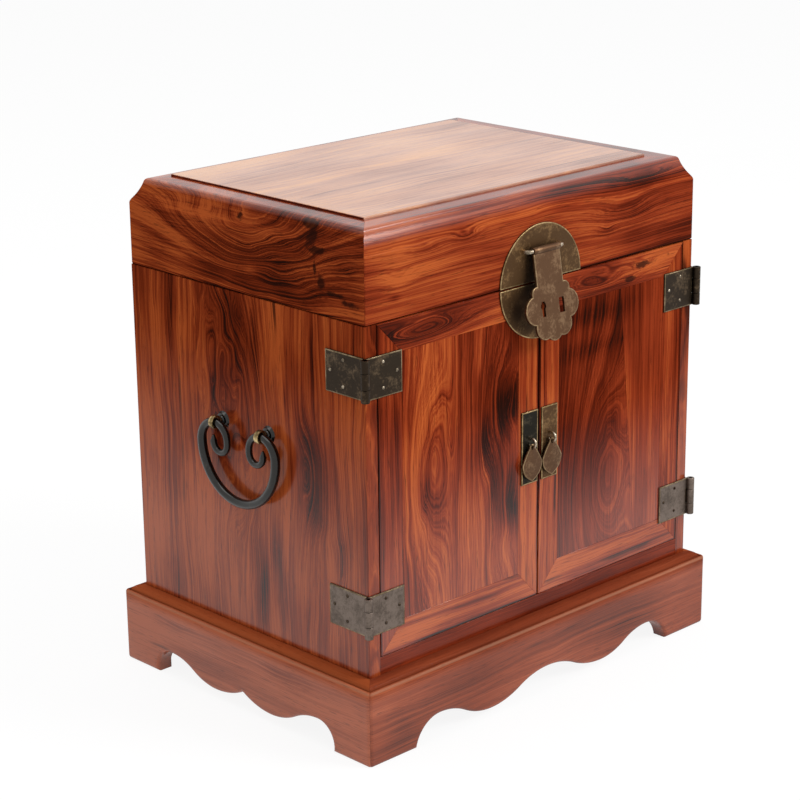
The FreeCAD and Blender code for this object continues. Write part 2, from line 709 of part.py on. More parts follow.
def hasp_bar():
    """Make the bar that carries the hasp, bent back into the lid's plate at both ends."""
    half, bend, out = size.bar_length / 2 - size.bar_radius, size.bar_bend, size.bar_standoff
    path = []
    here = FreeCAD.Vector(-half, 0, 0)
    corners = [quarter((-half + bend, bend - out), bend, 180, 270), (half - bend, -out)]
    corners += [quarter((half - bend, bend - out), bend, 270, 360), (half, 0.0)]
    for step in [(-half, bend - out)] + corners:
        if isinstance(step[0], tuple):
            end = FreeCAD.Vector(*step[1])
            path.append(Part.Arc(here, FreeCAD.Vector(*step[0]), end).toShape())
        else:
            end = FreeCAD.Vector(*step)
            path.append(Part.LineSegment(here, end).toShape())
        here = end
    made = swept("hasp_bar", path, [(0, size.bar_radius)])
    place(made, ("0", f"{FRONT} - plate_thickness", BAR_HEIGHT))
    node(made, "hasp_bar")


def swept(name, path, sections):
    """Sweep circles along a path; each has the place in the path where it stands and its radius."""
    line = doc.addObject("Part::Feature", f"{name}_line")
    line.Shape = Part.Wire(path)
    rounds = []
    for index, (edge, radius) in enumerate(sections):
        curve = path[min(edge, len(path) - 1)]
        at = curve.FirstParameter if edge < len(path) else curve.LastParameter
        ring = doc.addObject("Part::Circle", f"{name}_round_{index}")
        ring.Radius = radius
        ring.Placement = FreeCAD.Placement(curve.valueAt(at), FreeCAD.Rotation(Z, curve.tangentAt(at)))
        rounds.append(ring)
    made = doc.addObject("Part::Sweep", name)
    made.Sections = rounds
    made.Spine = (line, [f"Edge{number}" for number in range(1, len(path) + 1)])
    made.Solid = True
    made.Frenet = False
    doc.recompute()
    return made


def hasp():
    """Make the hasp: strap, rolled knuckle and a lobed end with two slots; its origin is the bar's axis."""
    bore = "(bar_radius + hasp_clearance)"
    roll = f"({bore} + hasp_thickness / 2)"
    deep = ("-hasp_thickness / 2", "hasp_thickness / 2")
    pieces = [bar("hasp_roll", roll, ("-hasp_width / 2", "0", "0"), "hasp_width", "x")]
    pieces.append(block("hasp_strap", ("-hasp_width / 2", "hasp_width / 2"), deep, ("-side_lobe_down", "0")))
    pieces.append(block("hasp_core", ("-side_lobe_out", "side_lobe_out"), deep,
                        ("-lower_lobe_down", "-shoulder_lobe_down")))
    lobes = [("end", 0)]
    lobes += [(word, side) for word in ("shoulder", "side", "lower") for side in (LEFT, RIGHT)]
    for word, side in lobes:
        out = f"{side} * {word}_lobe_out" if side else "0"
        pieces.append(bar(f"hasp_{word}_lobe_{side + 1}", f"{word}_lobe_radius",
                          (out, deep[0], f"-{word}_lobe_down"), "hasp_thickness", "y"))
    holes = [bar("hasp_bore", bore, ("-hasp_width", "0", "0"), "2 * hasp_width", "x")]
    through = ("-hasp_thickness", "hasp_thickness")
    z = ("-slot_down - slot_height / 2", "-slot_down + slot_height / 2")
    for side in (LEFT, RIGHT):
        x = sided(side, "slot_out - slot_width / 2", "slot_out + slot_width / 2")
        holes.append(block(f"hasp_slot_{side + 1}", x, through, z))
    holes.append(bar("hasp_keyhole", "keyhole_radius", ("-slot_out", through[0], f"{z[1]} - keyhole_radius"),
                     "2 * hasp_thickness", "y"))
    made = less("hasp", joined("hasp_blank", pieces), joined("hasp_holes", holes))
    node(place(made, ("0", BAR_FRONT, BAR_HEIGHT), FreeCAD.Rotation(X, -size.hasp_tilt)), "hasp")


def handles():
    """Make the posts and the bails on both sides."""
    height = "rim_height - handle_drop"
    posts = []
    for side, word in ((LEFT, "left"), (RIGHT, "right")):
        for end in (LEFT, RIGHT):
            posts.append(post(f"{word}_post_{end + 1}", side, f"{end} * handle_distance / 2", height))
        axis = f"{side} * (case_width / 2 + handle_standoff)"
        node(place(bail(f"{word}_bail"), (axis, "0", height)), f"{word}_bail")
    node(gathered("handle_posts", posts), "handle_posts")


def post(name, side, y, z):
    """Make a post with a sloping boss on the case and an eye for the bail."""
    face = f"{side} * case_width / 2"
    turn = ALONG["x"] if side == RIGHT else FreeCAD.Rotation(Y, -90)
    boss = doc.addObject("Part::Cone", f"{name}_boss")
    for prop, formula in (("Radius1", "boss_radius"), ("Radius2", "boss_radius - boss_slope"), ("Height", "boss_height")):
        boss.setExpression(prop, bound(formula))
    place(boss, (face, y, z), turn)
    neck = place(bar(f"{name}_neck", "neck_radius", (face, y, z), "handle_standoff", "z"), (face, y, z), turn)
    axis = f"{side} * (case_width / 2 + handle_standoff)"
    band = bar(f"{name}_band", "eye_radius", (axis, f"{y} - eye_width / 2", z), "eye_width", "y")
    hole = bar(f"{name}_hole", "bail_eye_radius + eye_clearance", (axis, f"{y} - eye_width", z), "2 * eye_width", "y")
    return less(name, joined(f"{name}_blank", [boss, neck, band]), hole)


def bail(name):
    """Make a bail with scrolled ends in the YZ plane; its eyes turn on the Y axis."""
    eye = size.handle_distance / 2
    bow, drop, bend = size.bail_bow, size.bail_bow - eye, size.curl_bow
    curl = eye - size.curl_drop + bend
    low = -size.curl_drop - size.curl_run
    tip = (curl + bend, low + size.curl_tip)
    steps = [(curl + bend, low), ((curl, low - bend), (curl - bend, low)), (curl - bend, -size.curl_drop)]
    steps.append(quarter((eye, -size.curl_drop), size.curl_drop, 180, 90))
    steps.append(quarter((eye, -drop), drop, 90, 0))
    steps.append(quarter((0.0, -drop), bow, 0, -90))
    path = []
    for start, step in zip([tip] + [item[1] if isinstance(item[0], tuple) else item for item in steps], steps):
        points = [start] + (list(step) if isinstance(step[0], tuple) else [step])
        path.append([FreeCAD.Vector(0, *point) for point in points])
    path += [[FreeCAD.Vector(0, -point.y, point.z) for point in reversed(points)] for points in reversed(path)]
    edges = []
    for points in path:
        curve = Part.Arc(*points) if len(points) == 3 else Part.LineSegment(*points)
        edges.append(curve.toShape())
    tip_round, curl_round = size.bail_tip_radius, size.bail_curl_radius
    eye_round, grip_round = size.bail_eye_radius, size.bail_grip_radius
    half = [(0, 1, tip_round, curl_round), (1, 3, curl_round, curl_round), (3, 4, curl_round, eye_round)]
    half.append((4, 5, eye_round, grip_round))
    count = len(edges)
    runs = half + [(5, count - 5, grip_round, grip_round)]
    runs += [(count - last, count - first, after, before) for first, last, before, after in half]
    pieces = []
    for first, last, before, after in runs:
        rounds = [(0, before)] if before == after else [(0, before), (last - first, after)]
        pieces.append(swept(f"{name}_run_{first}", edges[first:last], rounds))
    return joined(name, pieces)


def write_parts():
    """Check every object, then write each sub-part to its own file."""
    doc.recompute()
    for made in doc.Objects:
        if "Invalid" in made.State or "Error" in made.State:
            raise ValueError(f"{made.Name} is {made.State}")
    os.makedirs("parts", exist_ok=True)
    for made in nodes:
        shape = made.Shape
        if shape.isNull() or not shape.isValid():
            raise ValueError(f"{made.Label} has no sound shape")
        shape.exportStep(f"parts/{made.Label}.step")


base()
case()
door(LEFT, "left")
door(RIGHT, "right")
node(gathered("hinge_pins", door_hinges() + lid_hinges()), "hinge_pins")
lid()
lock()
handles()
write_parts()
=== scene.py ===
"""Looks of a seal chest: its wood, metal and light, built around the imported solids."""
import logging
import math
from dataclasses import dataclass, field
from enum import Enum
from typing import Optional, Sequence, Union

import bmesh
import bpy
import numpy as np
from mathutils import Matrix, Vector


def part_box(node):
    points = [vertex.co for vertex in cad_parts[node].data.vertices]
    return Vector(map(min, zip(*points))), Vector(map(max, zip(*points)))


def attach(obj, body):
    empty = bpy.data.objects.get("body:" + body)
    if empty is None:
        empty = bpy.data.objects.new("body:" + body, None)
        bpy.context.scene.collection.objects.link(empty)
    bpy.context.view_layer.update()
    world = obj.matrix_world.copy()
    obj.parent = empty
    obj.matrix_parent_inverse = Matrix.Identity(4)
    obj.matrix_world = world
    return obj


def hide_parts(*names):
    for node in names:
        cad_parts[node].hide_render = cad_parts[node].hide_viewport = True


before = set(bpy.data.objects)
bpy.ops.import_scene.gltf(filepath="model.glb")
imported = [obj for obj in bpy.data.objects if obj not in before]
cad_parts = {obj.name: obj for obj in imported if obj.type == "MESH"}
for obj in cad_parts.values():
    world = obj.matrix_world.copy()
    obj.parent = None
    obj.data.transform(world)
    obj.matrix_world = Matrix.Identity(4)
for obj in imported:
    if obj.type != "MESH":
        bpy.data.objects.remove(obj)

LOG = logging.getLogger("seal_chest")
MM = 0.001
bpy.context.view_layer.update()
SMOOTH_ANGLE = math.radians(38)
EDGE_STEP = 0.001
PLATE_RIM = 0.45
KNOT = 1.0

Array = np.ndarray
Value = Union["Wire", float, Sequence[float]]
Colour = tuple[float, float, float]
Point = tuple[float, float, float]
UP: Point = (0.0, 0.0, 1.0)


class Axis(Enum):
    """A direction of the chest's frame."""

    X = 0
    Y = 1
    Z = 2


class Named(Enum):
    """A choice that node names spell out."""

    @property
    def word(self) -> str:
        """Return the choice's name in node names."""
        return self.name.lower()


class Side(Named):
    """The chest's left and right as seen from the front."""

    LEFT = -1
    RIGHT = 1


class Face(Named):
    """An outer face of the chest, held as its right as seen from outside."""

    FRONT = (1.0, 0.0, 0.0)
    BACK = (-1.0, 0.0, 0.0)
    LEFT = (0.0, -1.0, 0.0)
    RIGHT = (0.0, 1.0, 0.0)


# Shader maths


class Wire:
    """A shader socket that takes Python's arithmetic; each operation adds a Math node."""

    def __init__(self, shade: "Shade", socket: bpy.types.NodeSocket) -> None:
        """Keep the socket and the shade that it belongs to."""
        self.shade = shade
        self.socket = socket

    def _math(self, operation: str, first: Value, second: Optional[Value] = None) -> "Wire":
        """Add one Math node and return its result."""
        inputs = {0: first} if second is None else {0: first, 1: second}
        return self.shade.node("ShaderNodeMath", {"operation": operation}, inputs)

    def __add__(self, other: Value) -> "Wire":
        """Return the sum."""
        return self._math("ADD", self, other)

    __radd__ = __add__

    def __sub__(self, other: Value) -> "Wire":
        """Return the difference."""
        return self._math("SUBTRACT", self, other)

    def __rsub__(self, other: Value) -> "Wire":
        """Return the difference the other way round."""
        return self._math("SUBTRACT", other, self)

    def __mul__(self, other: Value) -> "Wire":
        """Return the product."""
        return self._math("MULTIPLY", self, other)

    __rmul__ = __mul__

    def __truediv__(self, other: Value) -> "Wire":
        """Return the quotient."""
        return self._math("DIVIDE", self, other)

    def largest(self, other: Value) -> "Wire":
        """Return the larger of two values."""
        return self._math("MAXIMUM", self, other)

    def size(self) -> "Wire":
        """Return the value without its sign."""
        return self._math("ABSOLUTE", self)

    def bell(self) -> "Wire":
        """Return e to the power of minus the value."""
        return self._math("POWER", math.e, self * -1.0)

    def step(self, low: float, high: float) -> "Wire":
        """Make a smooth step.

        Args:
            low: where it is 0; it may be the larger.
            high: where it is 1.

        Returns:
            The step.
        """
        flip = low > high
        ends = {"From Min": min(low, high), "From Max": max(low, high)}
        ends.update({"To Min": float(flip), "To Max": float(not flip), "Value": self})
        return self.shade.node("ShaderNodeMapRange", {"interpolation_type": "SMOOTHSTEP"}, ends)


class Shade:
    """A material's node tree in the making."""

    def __init__(self, tree: bpy.types.NodeTree, output: str = "ShaderNodeOutputMaterial") -> None:
        """Empty a node tree and give it an output of a type."""
        self.tree = tree
        self.tree.nodes.clear()
        self.output = self.tree.nodes.new(output)

    def node(self, kind: str, settings: Optional[dict] = None, inputs: Optional[dict] = None,
             out: Union[int, str] = 0) -> Wire:
        """Add a node.

        Args:
            kind: the node's type name.
            settings: its settings, set first; "stops" sets a colour ramp's stops.
            inputs: values or wires for its sockets, by name or number.
            out: the output to return.

        Returns:
            The chosen output as a wire.
        """
        made = self.tree.nodes.new(kind)
        for key, value in (settings or {}).items():
            if key == "stops":
                self._stops(made.color_ramp, value)
            else:
                setattr(made, key, value)
        for key, value in (inputs or {}).items():
            socket = made.inputs[key]
            if isinstance(value, Wire):
                self.tree.links.new(value.socket, socket)
            elif isinstance(value, (tuple, list)) and socket.type == "RGBA":
                socket.default_value = (*value[:3], 1.0)
            else:
                socket.default_value = value
        return Wire(self, made.outputs[out])

    @staticmethod
    def _stops(ramp: bpy.types.ColorRamp, stops: Sequence[tuple]) -> None:
        """Set a colour ramp's stops from (place, colour) pairs."""
        while len(ramp.elements) < len(stops):
            ramp.elements.new(1.0)
        for element, (place, colour) in zip(ramp.elements, stops):
            element.position = place
            element.color = (*colour, 1.0)

    def place(self) -> tuple[Wire, Wire, Wire]:
        """Return the object coordinates in millimetres, one wire per axis."""
        point = self.node("ShaderNodeTexCoord", out="Object")
        parts = [self.node("ShaderNodeSeparateXYZ", None, {0: point}, out=axis) for axis in range(3)]
        return tuple(part * (1 / MM) for part in parts)

    def vector(self, x: Value, y: Value, z: Value) -> Wire:
        """Return three values as one vector."""
        return self.node("ShaderNodeCombineXYZ", None, {0: x, 1: y, 2: z})

    def noise(self, at: Wire, detail: float = 2.0, rough: float = 0.5) -> Wire:
        """Return noise from 0 to 1 at a vector that is already scaled."""
        inputs = {"Vector": at, "Scale": 1.0, "Detail": detail, "Roughness": rough}
        return self.node("ShaderNodeTexNoise", {"noise_dimensions": "3D"}, inputs)

    def bands(self, along: Wire, detail: float = 0.0) -> Wire:
        """Return noise from 0 to 1 that changes with one value only."""
        inputs = {"W": along, "Scale": 1.0, "Detail": detail}
        return self.node("ShaderNodeTexNoise", {"noise_dimensions": "1D"}, inputs)

    def mix(self, share: Value, first: Value, second: Value) -> Wire:
        """Return two colours mixed by a share."""
        return self.node("ShaderNodeMix", {"data_type": "RGBA"}, {0: share, 6: first, 7: second}, out=2)

    def between(self, share: Value, first: Value, second: Value) -> Wire:
        """Return two values mixed by a share."""
        return self.node("ShaderNodeMix", {"data_type": "FLOAT"}, {0: share, 2: first, 3: second})

    def close(self, shader: Wire) -> None:
        """Lead a shader to the output."""
        self.tree.links.new(shader.socket, self.output.inputs["Surface"])


def shown(name: str, data: bpy.types.ID) -> bpy.types.Object:
    """Return a new object in the scene that holds some data."""
    made = bpy.data.objects.new(name, data)
    bpy.context.scene.collection.objects.link(made)
    return made


def blank(name: str) -> bpy.types.Material:
    """Return a new material that takes nodes."""
    material = bpy.data.materials.new(name)
    material.use_nodes = True
    return material


# Finishes


@dataclass(frozen=True)
class Grain:
    """A noise in a material: its cycles per millimetre on each axis, and how far it swings a wood's tone."""

    along: float
    across: float
    depth: float
    detail: float = 2.0
    rough: float = 0.5
    weight: float = 0.0


@dataclass(frozen=True)
class Bands:
    """A noise of a wood's ring value alone: its cycles per millimetre, and how far it swings the tone."""

    scale: float
    detail: float
    weight: float = 0.0


@dataclass(frozen=True)
class Block:
    """A material in the making: its node tree, and the place on its grain's three axes, in millimetres."""

    shade: Shade
    along: Wire
    across: Wire
    depth: Wire

    def noise(self, grain: Grain, shifts: Sequence[Value] = (0.0, 0.0, 0.0),
              across: Optional[Wire] = None) -> Wire:
        """Return a noise from 0 to 1 at each place times its scale plus its shift.

        Args:
            grain: the noise.
            shifts: what is added along, across and in depth.
            across: what stands in for the place across the grain.

        Returns:
            The noise.
        """
        parts = (self.along * grain.along, (across or self.across) * grain.across, self.depth * grain.depth)
        moved = [part + shift if shift else part for part, shift in zip(parts, shifts)]
        return self.shade.noise(self.shade.vector(*moved), grain.detail, grain.rough)


@dataclass(frozen=True)
class Oval:
    """A nested figure in the grain, in millimetres; the long thin dark ones along the lid's lower edge and
    the doors' edges are painted shade in seams and gaps.

    Attributes:
        along: its middle along the grain.
        across: its middle across the grain.
        length: its half length along the grain.
        width: its half width across the grain.
        lift: how far it pushes the grain aside; a lift over its width closes the rings.
        dark: how much darker it is, or brighter below 0; from KNOT on it is a black knot.
    """

    along: float
    across: float
    length: float
    width: float
    lift: float
    dark: float = 0.0


@dataclass(frozen=True)
class Joint:
    """A glued joint in a board, past which the grain is straight, in millimetres.

    Attributes:
        across: where it crosses the height 0.
        slope: how far it moves across for each millimetre along.
        tone: how much brighter the wood past it is.
    """

    across: float
    slope: float
    tone: float

    def past(self, block: Block) -> Wire:
        """Return 1 past the joint and 0 before it."""
        place = block.across - block.along * self.slope
        return place.step(self.across - JOINT_FADE, self.across + JOINT_FADE)


@dataclass(frozen=True)
class Polish:
    """The wax on a face: its weight below one height and above another, in millimetres."""

    low: float = 0.05
    high: float = 0.05
    start: float = 60.0
    end: float = 300.0


# How a moulded edge's colours fade in, in millimetres, and how much of them shows
CREST_RISE = (-0.8, 0.4)
# The rim's pale colour is partly wear and partly a painted highlight.
RIM_FADE = (1.6, 0.4)
RIM_WEAR_AND_HIGHLIGHT_SHARE = 0.4
BEAD_FADE = 0.8
BEAD_SHARE = 0.6
# The groove's dark colour is painted shade.
GROOVE_WIDTH = 0.6
GROOVE_SHADE_SHARE = 0.85


@dataclass(frozen=True)
class Crest:
    """A moulded top edge, in millimetres: a paler rim that is partly wear and partly a painted highlight, a
    groove darkened with painted shade, and an orange bead.

    Attributes:
        face: how far the board's face lies from the chest's middle.
        height: the height that the moulding starts at.
        groove: how far the groove's middle lies behind the face.
        bead: the bead's colour.
        rim: the rim's colour, partly wear and partly a painted highlight on its rounding.
    """

    face: float
    height: float = 52.4
    groove: float = 2.8
    bead: Colour = (0.33, 0.064, 0.013)
    rim: Colour = (0.46, 0.24, 0.15)

    def paint(self, shade: Shade, colour: Wire, depth: Wire, height: Wire, dark: Colour) -> Wire:
        """Return a board's colour with its crest.

        The groove's share is exp(-g^2), with g the distance from its middle over its width.

        Args:
            shade: the node tree.
            colour: the board's colour.
            depth: the place square to the board's face.
            height: the place above the floor.
            dark: the colour of the painted shade in the groove.

        Returns:
            The colour.
        """
        back = self.face - depth.size()
        top = height.step(*(self.height + rise for rise in CREST_RISE))
        # A paler rim: partly wear, partly a painted highlight on the rounding.
        colour = shade.mix(top * back.step(*RIM_FADE) * RIM_WEAR_AND_HIGHLIGHT_SHARE, colour, self.rim)
        bead = back.step(self.groove, self.groove + BEAD_FADE)
        colour = shade.mix(top * bead * BEAD_SHARE, colour, self.bead)
        # Painted shade in the groove.
        gap = (back - self.groove) / GROOVE_WIDTH
        return shade.mix(top * (gap * gap).bell() * GROOVE_SHADE_SHARE, colour, dark)


@dataclass(frozen=True)
class Palette:
    """The colours of a wood from its dark veins to its bright bands, as linear values."""

    vein: Colour
    deep: Colour
    middle: Colour
    bright: Colour

    def stops(self) -> list[tuple[float, Colour]]:
        """Return the tone of each colour, from the darkest on."""
        return list(zip(TONES, (self.vein, self.deep, self.middle, self.bright)))


ROSEWOOD = Palette((0.018, 0.005, 0.003), (0.105, 0.0120, 0.0036),
                   (0.250, 0.034, 0.0100), (0.47, 0.100, 0.024))
SIDEWOOD = Palette((0.020, 0.006, 0.004), (0.108, 0.0135, 0.0040),
                   (0.232, 0.034, 0.0090), (0.43, 0.086, 0.020))
BASEWOOD = Palette((0.045, 0.012, 0.008), (0.150, 0.030, 0.0130),
                   (0.270, 0.055, 0.0205), (0.47, 0.118, 0.048))
# The lid top's pale colours are a painted sheen: the light that the top reflects is painted into its wood
# colour.
TOPWOOD_PAINTED_SHEEN = Palette((0.20, 0.080, 0.050), (0.38, 0.165, 0.105),
                  (0.55, 0.255, 0.150), (0.72, 0.330, 0.135))
DRAWERWOOD = Palette((0.10, 0.040, 0.015), (0.24, 0.110, 0.045),
                     (0.33, 0.170, 0.070), (0.42, 0.240, 0.110))


# The figure that all woods share: noises, their steps and their shares
TONES = (0.0, 0.27, 0.54, 0.86)
MIDDLE = 0.5
BASE_TONE = 0.52
SLOW_SWAY = Grain(0.0065, 0.019, 0.018, weight=2.4)
QUICK_SWAY = Grain(0.024, 0.075, 0.07, 1.5, weight=0.5)
JAG = Grain(0.022, 0.05, 0.05, 1.0)
JAG_ALONG = 0.16
JAG_ACROSS = 0.2
RAG = Grain(0.10, 0.14, 0.1, 5.0, 0.6)
RAG_SHARE = 2.4
FIBRE = Grain(0.011, 0.8, 0.8, 3.0, 0.65, 0.6)
FIBRE_SWAY = 0.5
FIBRE_REACH = 1.6
CLOUD = Grain(0.010, 0.022, 0.02, 2.0, 0.45, 1.0)
STREAK = Grain(0.008, 0.17, 0.1, 3.0, 0.6, 0.95)
BROAD = Bands(0.045, 1.0, 0.5)
LINES = Bands(0.34, 2.0, 0.17)
HAIR = Bands(1.25, 2.0, 0.2)
TONE_LAYERS = (BROAD, LINES, HAIR, FIBRE, CLOUD, STREAK)
LINE_STEP = (0.28, 0.72)
RING_SEED = 13.7
LEAN_LENGTH = 100.0
JOINT_FADE = 0.25
JOINT_SWAY = 0.5
JOINT_SHIFT = 300.0
RAGGED_STEP = (0.3, 0.7)
RAGGED_LEAST = 0.55
RAGGED_SPAN = 0.9
DARK_LINES = 0.45
DARK_HAIR = 0.3
DARK_EVEN = 0.12
VEIN = Bands(0.17, 3.0)
VEIN_SHIFT = 71.0
VEIN_EDGE = 0.70
VEIN_SPREAD = 0.12
VEIN_FADE = (-0.03, 0.05)
VEIN_SHARE = 0.8
PATCH = Grain(0.012, 0.03, 0.01)
PATCH_SHIFT = 5.0
PATCH_STEP = (0.62, 0.72)
PATCH_SPREAD = 0.34
KNOT_STEP = (0.28, 0.8)
KNOT_SHARE = 0.85
PORES = Grain(0.07, 1.5, 1.5, 2.0, 0.6)
PORE_SWAY = 0.6
PORE_STEP = (0.58, 0.72)
PORE_SHARE = 0.6
PORE_RELIEF = 0.08
PORE_DEPTH = 0.0002
LINE_ROUGH = 0.05
PORE_ROUGH = 0.12
WAX_LEAST = 0.75
WAX_CLOUD = 0.5
WAX_ROUGH = 0.16
WAX_IOR = 1.6


@dataclass(frozen=True)
class Wood:
    """A wood finish: bands along one axis that nested figures push aside.

    Its ring value is the place across the grain with the grain's sway and each figure's lift in it.

    Attributes:
        name: the material's name.
        along: the grain's direction.
        across: the direction across the grain on the board's face.
        palette: its colours.
        seed: moves the pattern, so that no two boards look alike.
        sway: how far the grain sways, in millimetres.
        tone: shifts the whole board to its dark or bright colours.
        lean: how much brighter it grows over 100 mm along the grain.
        veins: how much of the board its dark veins take, from 0 to 1.
        contrast: how far its bands depart from the middle colour.
        ovals: its nested figures, and on some boards painted shade along seams and gaps.
        joint: the glued joint in it, where it has one.
        crest: its moulded top edge, where it has one.
        polish: the wax on it.
        rough: its roughness.
    """

    name: str
    along: Axis
    across: Axis
    palette: Palette = ROSEWOOD
    seed: float = 0.0
    sway: float = 12.0
    tone: float = 0.0
    lean: float = 0.0
    veins: float = 0.3
    contrast: float = 1.0
    ovals: tuple[Oval, ...] = ()
    joint: Optional[Joint] = None
    crest: Optional[Crest] = None
    polish: Polish = Polish()
    rough: float = 0.4

    def warp(self, block: Block) -> Wire:
        """Return how far the grain sways at each place: a slow noise and a quick one."""
        slow = block.noise(SLOW_SWAY, (self.seed, 0.0, self.seed)) - MIDDLE
        quick = block.noise(QUICK_SWAY, (0.0, self.seed, 0.0)) - MIDDLE
        return slow * (SLOW_SWAY.weight * self.sway) + quick * (QUICK_SWAY.weight * self.sway)

    def figures(self, block: Block, ring: Wire) -> tuple[Wire, Optional[Wire], Optional[Wire]]:
        """Lay the nested figures into the grain, with the painted shade that some ovals put along seams and
        gaps.

        A figure's bell is exp(-d^2), with d^2 = a^2 + c^2: a and c are the distances from its middle along
        and across the grain over its half sizes, made jagged by a noise.

        Args:
            block: the material in the making.
            ring: the place across the grain with its sway.

        Returns:
            The ring value, how dark the figures are, and the knots.
        """
        dark, knots = None, None
        jag = block.noise(JAG, (0.0, self.seed, 0.0)) - MIDDLE
        for oval in self.ovals:
            along = (block.along - oval.along) / oval.length + jag * (JAG_ALONG * self.sway)
            across = (block.across - oval.across) / oval.width + jag * (JAG_ACROSS * self.sway)
            bell = (along * along + across * across).bell()
            if oval.lift:
                ring = ring + bell * oval.lift
            if oval.dark >= KNOT:
                knots = bell if knots is None else knots.largest(bell)
            elif oval.dark:
                dark = bell * oval.dark if dark is None else dark + bell * oval.dark
        return ring, dark, knots

    def toned(self, block: Block, ring: Wire, warp: Wire, cloud: Wire,
              dark: Optional[Wire]) -> tuple[Wire, Wire, Wire]:
        """Work out where in the palette each place lies.

        The tone is the sum of weight (noise - 1/2) over broad bands, lines and hair lines of the ring value,
        fibres, clouds and streaks. Dark figures take more from it between the lines and where fibres show.

        Args:
            block: the material in the making.
            ring: the ring value.
            warp: how far the grain sways.
            cloud: the cloud noise.
            dark: how dark the figures are.

        Returns:
            The tone, the ring value past a joint, and the lines.
        """
        shade = block.shade
        shift = block.along * (self.lean / LEAN_LENGTH) + self.tone
        if self.joint is not None:
            past = self.joint.past(block)
            ring = shade.between(past, ring, block.across + warp * JOINT_SWAY + JOINT_SHIFT)
            shift = shift + past * self.joint.tone
        ring = ring + self.seed * RING_SEED
        fibre = block.noise(FIBRE, (self.seed, warp * FIBRE_SWAY, 0.0))
        fine = ring + (fibre - MIDDLE) * FIBRE_REACH
        broad = shade.bands(ring * BROAD.scale, BROAD.detail)
        lines = shade.bands(fine * LINES.scale, LINES.detail).step(*LINE_STEP)
        hair = shade.bands(fine * HAIR.scale, HAIR.detail).step(*LINE_STEP)
        streak = block.noise(STREAK, (self.seed, 0.0, 0.0), fine)
        noises = (broad, lines, hair, fibre, cloud, streak)
        swing = sum((noise - MIDDLE) * layer.weight for noise, layer in zip(noises, TONE_LAYERS))
        tone = swing * self.contrast + shift + BASE_TONE
        if dark is not None:
            ragged = fibre.step(*RAGGED_STEP) * RAGGED_SPAN + RAGGED_LEAST
            tone = tone - dark * ragged * ((1.0 - lines) * DARK_LINES + (1.0 - hair) * DARK_HAIR + DARK_EVEN)
        return tone, ring, lines

    def veined(self, block: Block, colour: Wire, ring: Wire, knots: Optional[Wire]) -> Wire:
        """Lay dark veins, in patches, and black knots with ragged edges over a colour.

        Args:
            block: the material in the making.
            colour: the colour.
            ring: the ring value.
            knots: the knots, where there are any.

        Returns:
            The colour with both.
        """
        shade = block.shade
        edge = VEIN_EDGE - VEIN_SPREAD * self.veins
        vein = shade.bands(ring * VEIN.scale + VEIN_SHIFT, VEIN.detail)
        vein = vein.step(*(edge + end for end in VEIN_FADE))
        patch = block.noise(PATCH, (PATCH_SHIFT, self.seed, 0.0))
        vein = vein * patch.step(*(end - PATCH_SPREAD * self.veins for end in PATCH_STEP))
        colour = shade.mix(vein * VEIN_SHARE, colour, self.palette.vein)
        if knots is None:
            return colour
        rag = block.noise(RAG, (0.0, self.seed, 0.0)) - MIDDLE
        return shade.mix((knots + rag * RAG_SHARE).step(*KNOT_STEP) * KNOT_SHARE, colour, self.palette.vein)

    def build(self) -> bpy.types.Material:
        """Make the material: a tone picks its colours, with veins, knots, pores, crest and wax over them.

        Returns:
            The finished material.
        """
        material = blank(self.name)
        shade = Shade(material.node_tree)
        parts = shade.place()
        height = parts[Axis.Z.value]
        third = 3 - self.along.value - self.across.value
        block = Block(shade, parts[self.along.value], parts[self.across.value], parts[third])
        warp = self.warp(block)
        ring, dark, knots = self.figures(block, block.across + warp)
        cloud = block.noise(CLOUD, (0.0, self.seed, 0.0))
        tone, ring, lines = self.toned(block, ring, warp, cloud, dark)
        colour = shade.node("ShaderNodeValToRGB", {"stops": self.palette.stops()}, {0: tone})
        colour = self.veined(block, colour, ring, knots)
        pores = block.noise(PORES, (0.0, warp * PORE_SWAY, 0.0)).step(*PORE_STEP)
        colour = shade.mix(pores * PORE_SHARE, colour, self.palette.vein)
        if self.crest is not None:
            colour = self.crest.paint(shade, colour, block.depth, height, self.palette.vein)
        relief = {"Strength": PORE_RELIEF, "Distance": PORE_DEPTH, "Height": 1.0 - pores}
        wax = height.step(self.polish.start, self.polish.end) * (self.polish.high - self.polish.low)
        inputs = {"Base Color": colour,
                  "Roughness": (lines - MIDDLE) * LINE_ROUGH + pores * PORE_ROUGH + self.rough,
                  "Normal": shade.node("ShaderNodeBump", None, relief),
                  "Specular IOR Level": 0.0,
                  "Coat Weight": (wax + self.polish.low) * (WAX_LEAST + cloud * WAX_CLOUD),
                  "Coat Roughness": WAX_ROUGH,
                  "Coat IOR": WAX_IOR}
        shade.close(shade.node("ShaderNodeBsdfPrincipled", None, inputs))
        return material


# The wear that all metals share: noises, their steps and their shares
BLOT = Grain(0.09, 0.09, 0.09, 4.0, 0.62)
SPECK = Grain(0.5, 0.5, 0.5, 3.0, 0.7)
BLOT_SHARE = 0.6
SPECK_SHARE = 0.4
WORN_STEP = (0.62, 0.78)
WORN_SPREAD = 0.3
LOW_FADE = (190.0, 150.0)
LOW_STEP = (0.36, 0.6)
LOW_LEAST = 0.45
LOW_SPAN = 0.6
PITS = Grain(1.1, 1.1, 1.1, 2.0, 0.6)
PIT_STEP = (0.62, 0.72)
PIT_SHARE = 0.6
PIT_DARK = 0.35
PIT_RELIEF = 0.25
PIT_DEPTH = 0.0003
PIT_HEIGHT = 0.5
SPECK_ROUGH = 0.25
SKIN_ROUGH = 0.08
WORN_ROUGH = 0.1
COAT_ROUGH = 0.08


